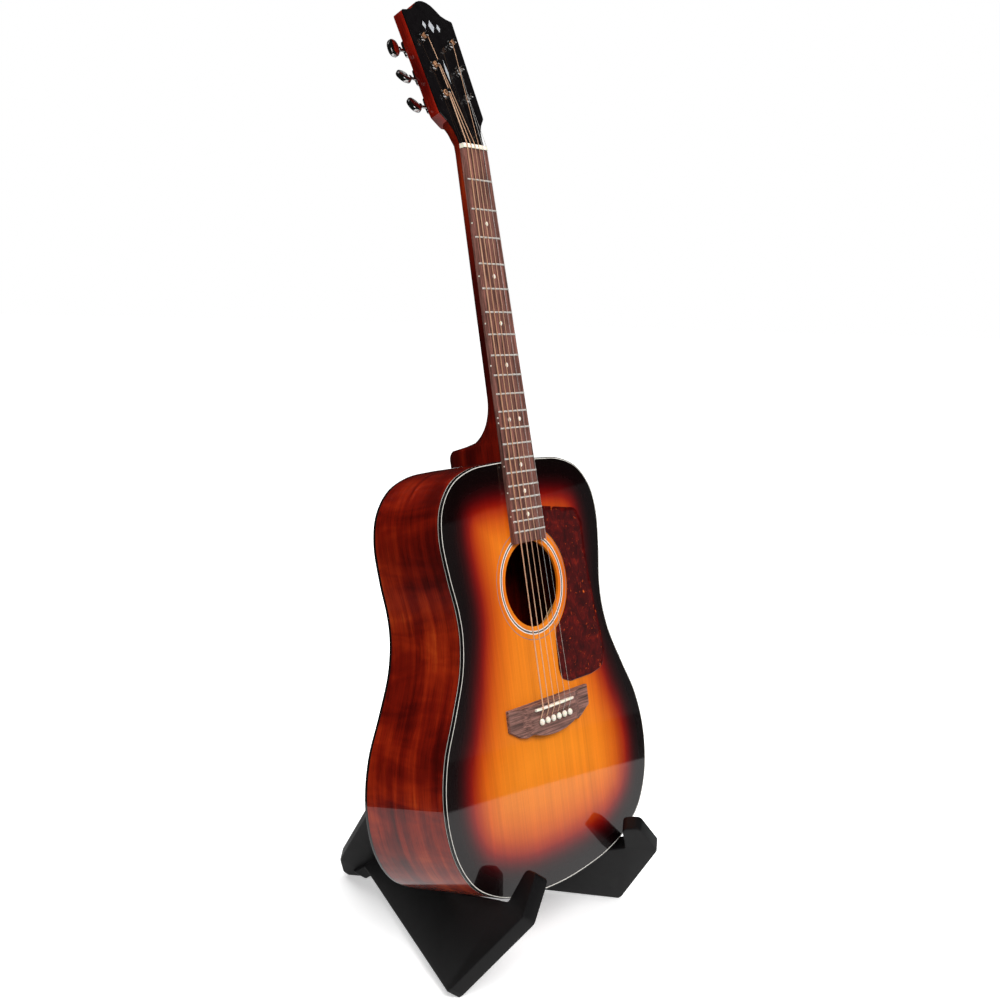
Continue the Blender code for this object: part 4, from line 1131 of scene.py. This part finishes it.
def board_frame(side):
    """Frame of a board (along the floor, up its slope, its normal) and the normal's sense outwards."""
    axis = Vector((0, -math.cos(RISE), math.sin(RISE)))
    lift = Vector((0, math.sin(RISE), math.cos(RISE)))
    across = Vector((side * math.sin(OPEN), 0, 0)) - lift * math.cos(OPEN)
    outwards = axis.cross(across) * side
    along = outwards.cross(Vector((0, 0, 1))).normalized()
    if along.y > 0:
        along = -along
    up = outwards.cross(along)
    if up.z < 0:
        up = -up
    normal = along.cross(up)
    matrix = Matrix((along, up, normal)).transposed().to_4x4()
    matrix.translation = Vector((0, CROSS_Y, -FLOOR_CUT))
    return matrix, math.copysign(1.0, normal.dot(outwards))


def add_board(name, side):
    """A stand board, with whatever its outline puts under the floor raised to it."""
    matrix, sense = board_frame(side)
    low, high = sorted((0.0, sense * BOARD))
    bm = slab(rounded(BOARD_OUTLINE, 6), low, high, 0.0020, 4)
    floor = matrix.inverted()
    bmesh.ops.triangulate(bm, faces=[f for f in bm.faces if len(f.verts) > 4])
    for vert in bm.verts:
        height = (matrix @ vert.co).z
        if height < 0:
            vert.co += floor.to_3x3() @ Vector((0, 0, -height))
    piece(name + "_lacquered", bm, STAND, "stand_black", "stand", matrix, (name,), sharp=60)


KEPT_NODES = (
    (BARE, ("x_brace_bass", "x_brace_treble", "back_brace_1", "back_brace_2", "back_brace_3")),
    (BARE, ("bridge_plate", "neck_block", "tail_block")),
    (STEEL, ("truss_rod",)),
    (RUBBER, ("seat_pad_left", "seat_pad_right", "back_pad_left", "back_pad_right")),
)
for material, nodes in KEPT_NODES:
    for node in nodes:
        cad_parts[node].material_slots[0].material = material

add_body()
add_bridge()
add_pickguard()
add_fretboard()
add_neck()
add_head()
for place in post_places():
    add_tuner(*place)
    add_string(*place)
add_board("stand_board_right", 1)
add_board("stand_board_left", -1)


# ---------------------------------------------------------------- camera, light and floor


def add_camera():
    """The view: from the front left, at about the height of the neck's heel."""
    data = bpy.data.cameras.new("camera")
    camera = link("camera", data)
    camera.location = (-1.25214, -0.98504, 0.7594)
    camera.rotation_euler = [math.radians(angle) for angle in (81.5802, -1.3998, -52.747)]
    data.sensor_width, data.lens = 36.0, 48.5334
    data.clip_start, data.clip_end = 0.05, 50
    bpy.context.scene.camera = camera


def add_light(name, place, target, size, power):
    """A soft rectangular light, which the gloss doesn't mirror."""
    data = bpy.data.lights.new(name, "AREA")
    data.shape, data.size, data.size_y = "RECTANGLE", size[0], size[1]
    data.energy = power
    light = link(name, data)
    light.location = place
    light.rotation_euler = (Vector(target) - Vector(place)).to_track_quat("-Z", "Y").to_euler()
    light.visible_camera = light.visible_glossy = False


def disc(name, radius, place, material, camera):
    """A round floor that only the camera sees, or that everything but the camera does."""
    bm = bmesh.new()
    bmesh.ops.create_circle(bm, cap_ends=True, segments=128, radius=radius)
    mesh = bpy.data.meshes.new(name)
    bm.to_mesh(mesh)
    bm.free()
    mesh.materials.append(material)
    floor = link(name, mesh)
    floor.location = place
    floor.visible_camera = camera
    floor.visible_shadow = floor.visible_glossy = floor.visible_diffuse = not camera
    floor.visible_transmission = not camera


def floor_paint(name, low, high):
    p = Paint(name, Roughness=0.6, Specular_IOR_Level=0.0)
    p.colour(p.ramp(p.noise((3, 3, 3), 2.0), [(0.3, (low, low, low, 1)), (0.7, (high, high, high, 1))]))
    p.set("Emission Color", (1, 1, 1, 1))
    return p


def add_floor():
    """A wide floor for the view, white away from the object, and a smaller pale one that it mirrors."""
    p = floor_paint("floor", 0.88, 0.90)
    p.set("Emission Strength", p.grey(p.length(p.place), (0.25, 0.4), (0.8, 1.0)))
    disc("floor", 40, (0, 0, -0.0003), p.material, True)
    p = floor_paint("mirrored_floor", 0.34, 0.38)
    p.set("Emission Strength", 0.25)
    disc("mirrored_floor", 1.2, (0.32, -0.30, -0.0010), p.material, False)


def add_card(name, centre, size, facing, strength):
    """A dim upright card for the gloss to mirror; nothing else sees it."""
    bm = bmesh.new()
    bmesh.ops.create_grid(bm, x_segments=1, y_segments=1, size=0.5)
    mesh = bpy.data.meshes.new(name)
    bm.to_mesh(mesh)
    bm.free()
    card = link(name, mesh)
    card.scale = (size[0], size[1], 1)
    card.rotation_euler = Vector(facing).to_track_quat("Z", "Y").to_euler()
    card.location = centre
    p = Paint(name, Roughness=1.0, Specular_IOR_Level=0.0, Base_Color=(0, 0, 0, 1))
    p.set("Emission Color", (1, 1, 1, 1))
    cloud = p.noise((1, 1, 1), 1.0)
    p.set("Emission Strength", p.grey(cloud, (0.0, strength * 0.9), (1.0, strength * 1.1)))
    mesh.materials.append(p.material)
    card.visible_camera = card.visible_diffuse = card.visible_shadow = card.visible_transmission = False


def add_world():
    """White to the camera, dim to everything else, and dimmer still in the gloss, as behind black flags."""
    world = bpy.data.worlds.new("studio")
    bpy.context.scene.world = world
    world.use_nodes = True
    tree = world.node_tree
    path = tree.nodes.new("ShaderNodeLightPath")
    back = tree.nodes["Background"]
    back.inputs[0].default_value = (1, 1, 1, 1)
    back.inputs[1].default_value = 0.17
    shader = back.outputs[0]
    for ray, strength in (("Is Glossy Ray", 0.008), ("Is Camera Ray", 1.0)):
        seen, mix = tree.nodes.new("ShaderNodeBackground"), tree.nodes.new("ShaderNodeMixShader")
        seen.inputs[0].default_value = (1, 1, 1, 1)
        seen.inputs[1].default_value = strength
        tree.links.new(path.outputs[ray], mix.inputs[0])
        tree.links.new(shader, mix.inputs[1])
        tree.links.new(seen.outputs[0], mix.inputs[2])
        shader = mix.outputs[0]
    tree.links.new(shader, tree.nodes["World Output"].inputs[0])


add_camera()
add_world()
add_floor()
add_card("grey_card", (1.86, -2.04, 0.40), (1.3, 0.80), (-0.77, 0.63, 0), 0.09)
add_card("ceiling_card", (-0.9, 1.4, 2.6), (0.8, 1.8), (0.3, -0.5, -1), 0.35)
add_card("left_card", (-2.6, -2.0, 1.7), (1.1, 1.8), (0.8, 0.6, -0.25), 1.6)
add_card("low_left_card", (-2.4, -2.6, 0.5), (0.6, 0.8), (0.7, 0.7, 0.1), 0.9)
add_card("right_card", (2.2, 1.2, 1.9), (0.5, 1.6), (-0.8, -0.5, -0.4), 1.2)
add_light("key", (-1.2, -2.4, 2.6), (0, 0, 0.5), (1.6, 1.6), 108)
add_light("fill", (2.2, -2.6, 1.6), (0, 0, 0.5), (1.4, 2.0), 34)
add_light("side", (-2.8, 0.4, 1.4), (0, 0, 0.5), (1.2, 2.0), 25)
add_light("overhead", (0.0, 0.0, 3.2), (0, 0, 0), (2.4, 2.4), 50)
add_light("rear", (0.6, 2.8, 2.2), (0, 0, 0.5), (1.6, 1.6), 40)

scene = bpy.context.scene
scene.view_settings.view_transform = "Standard"
scene.view_settings.look = "None"
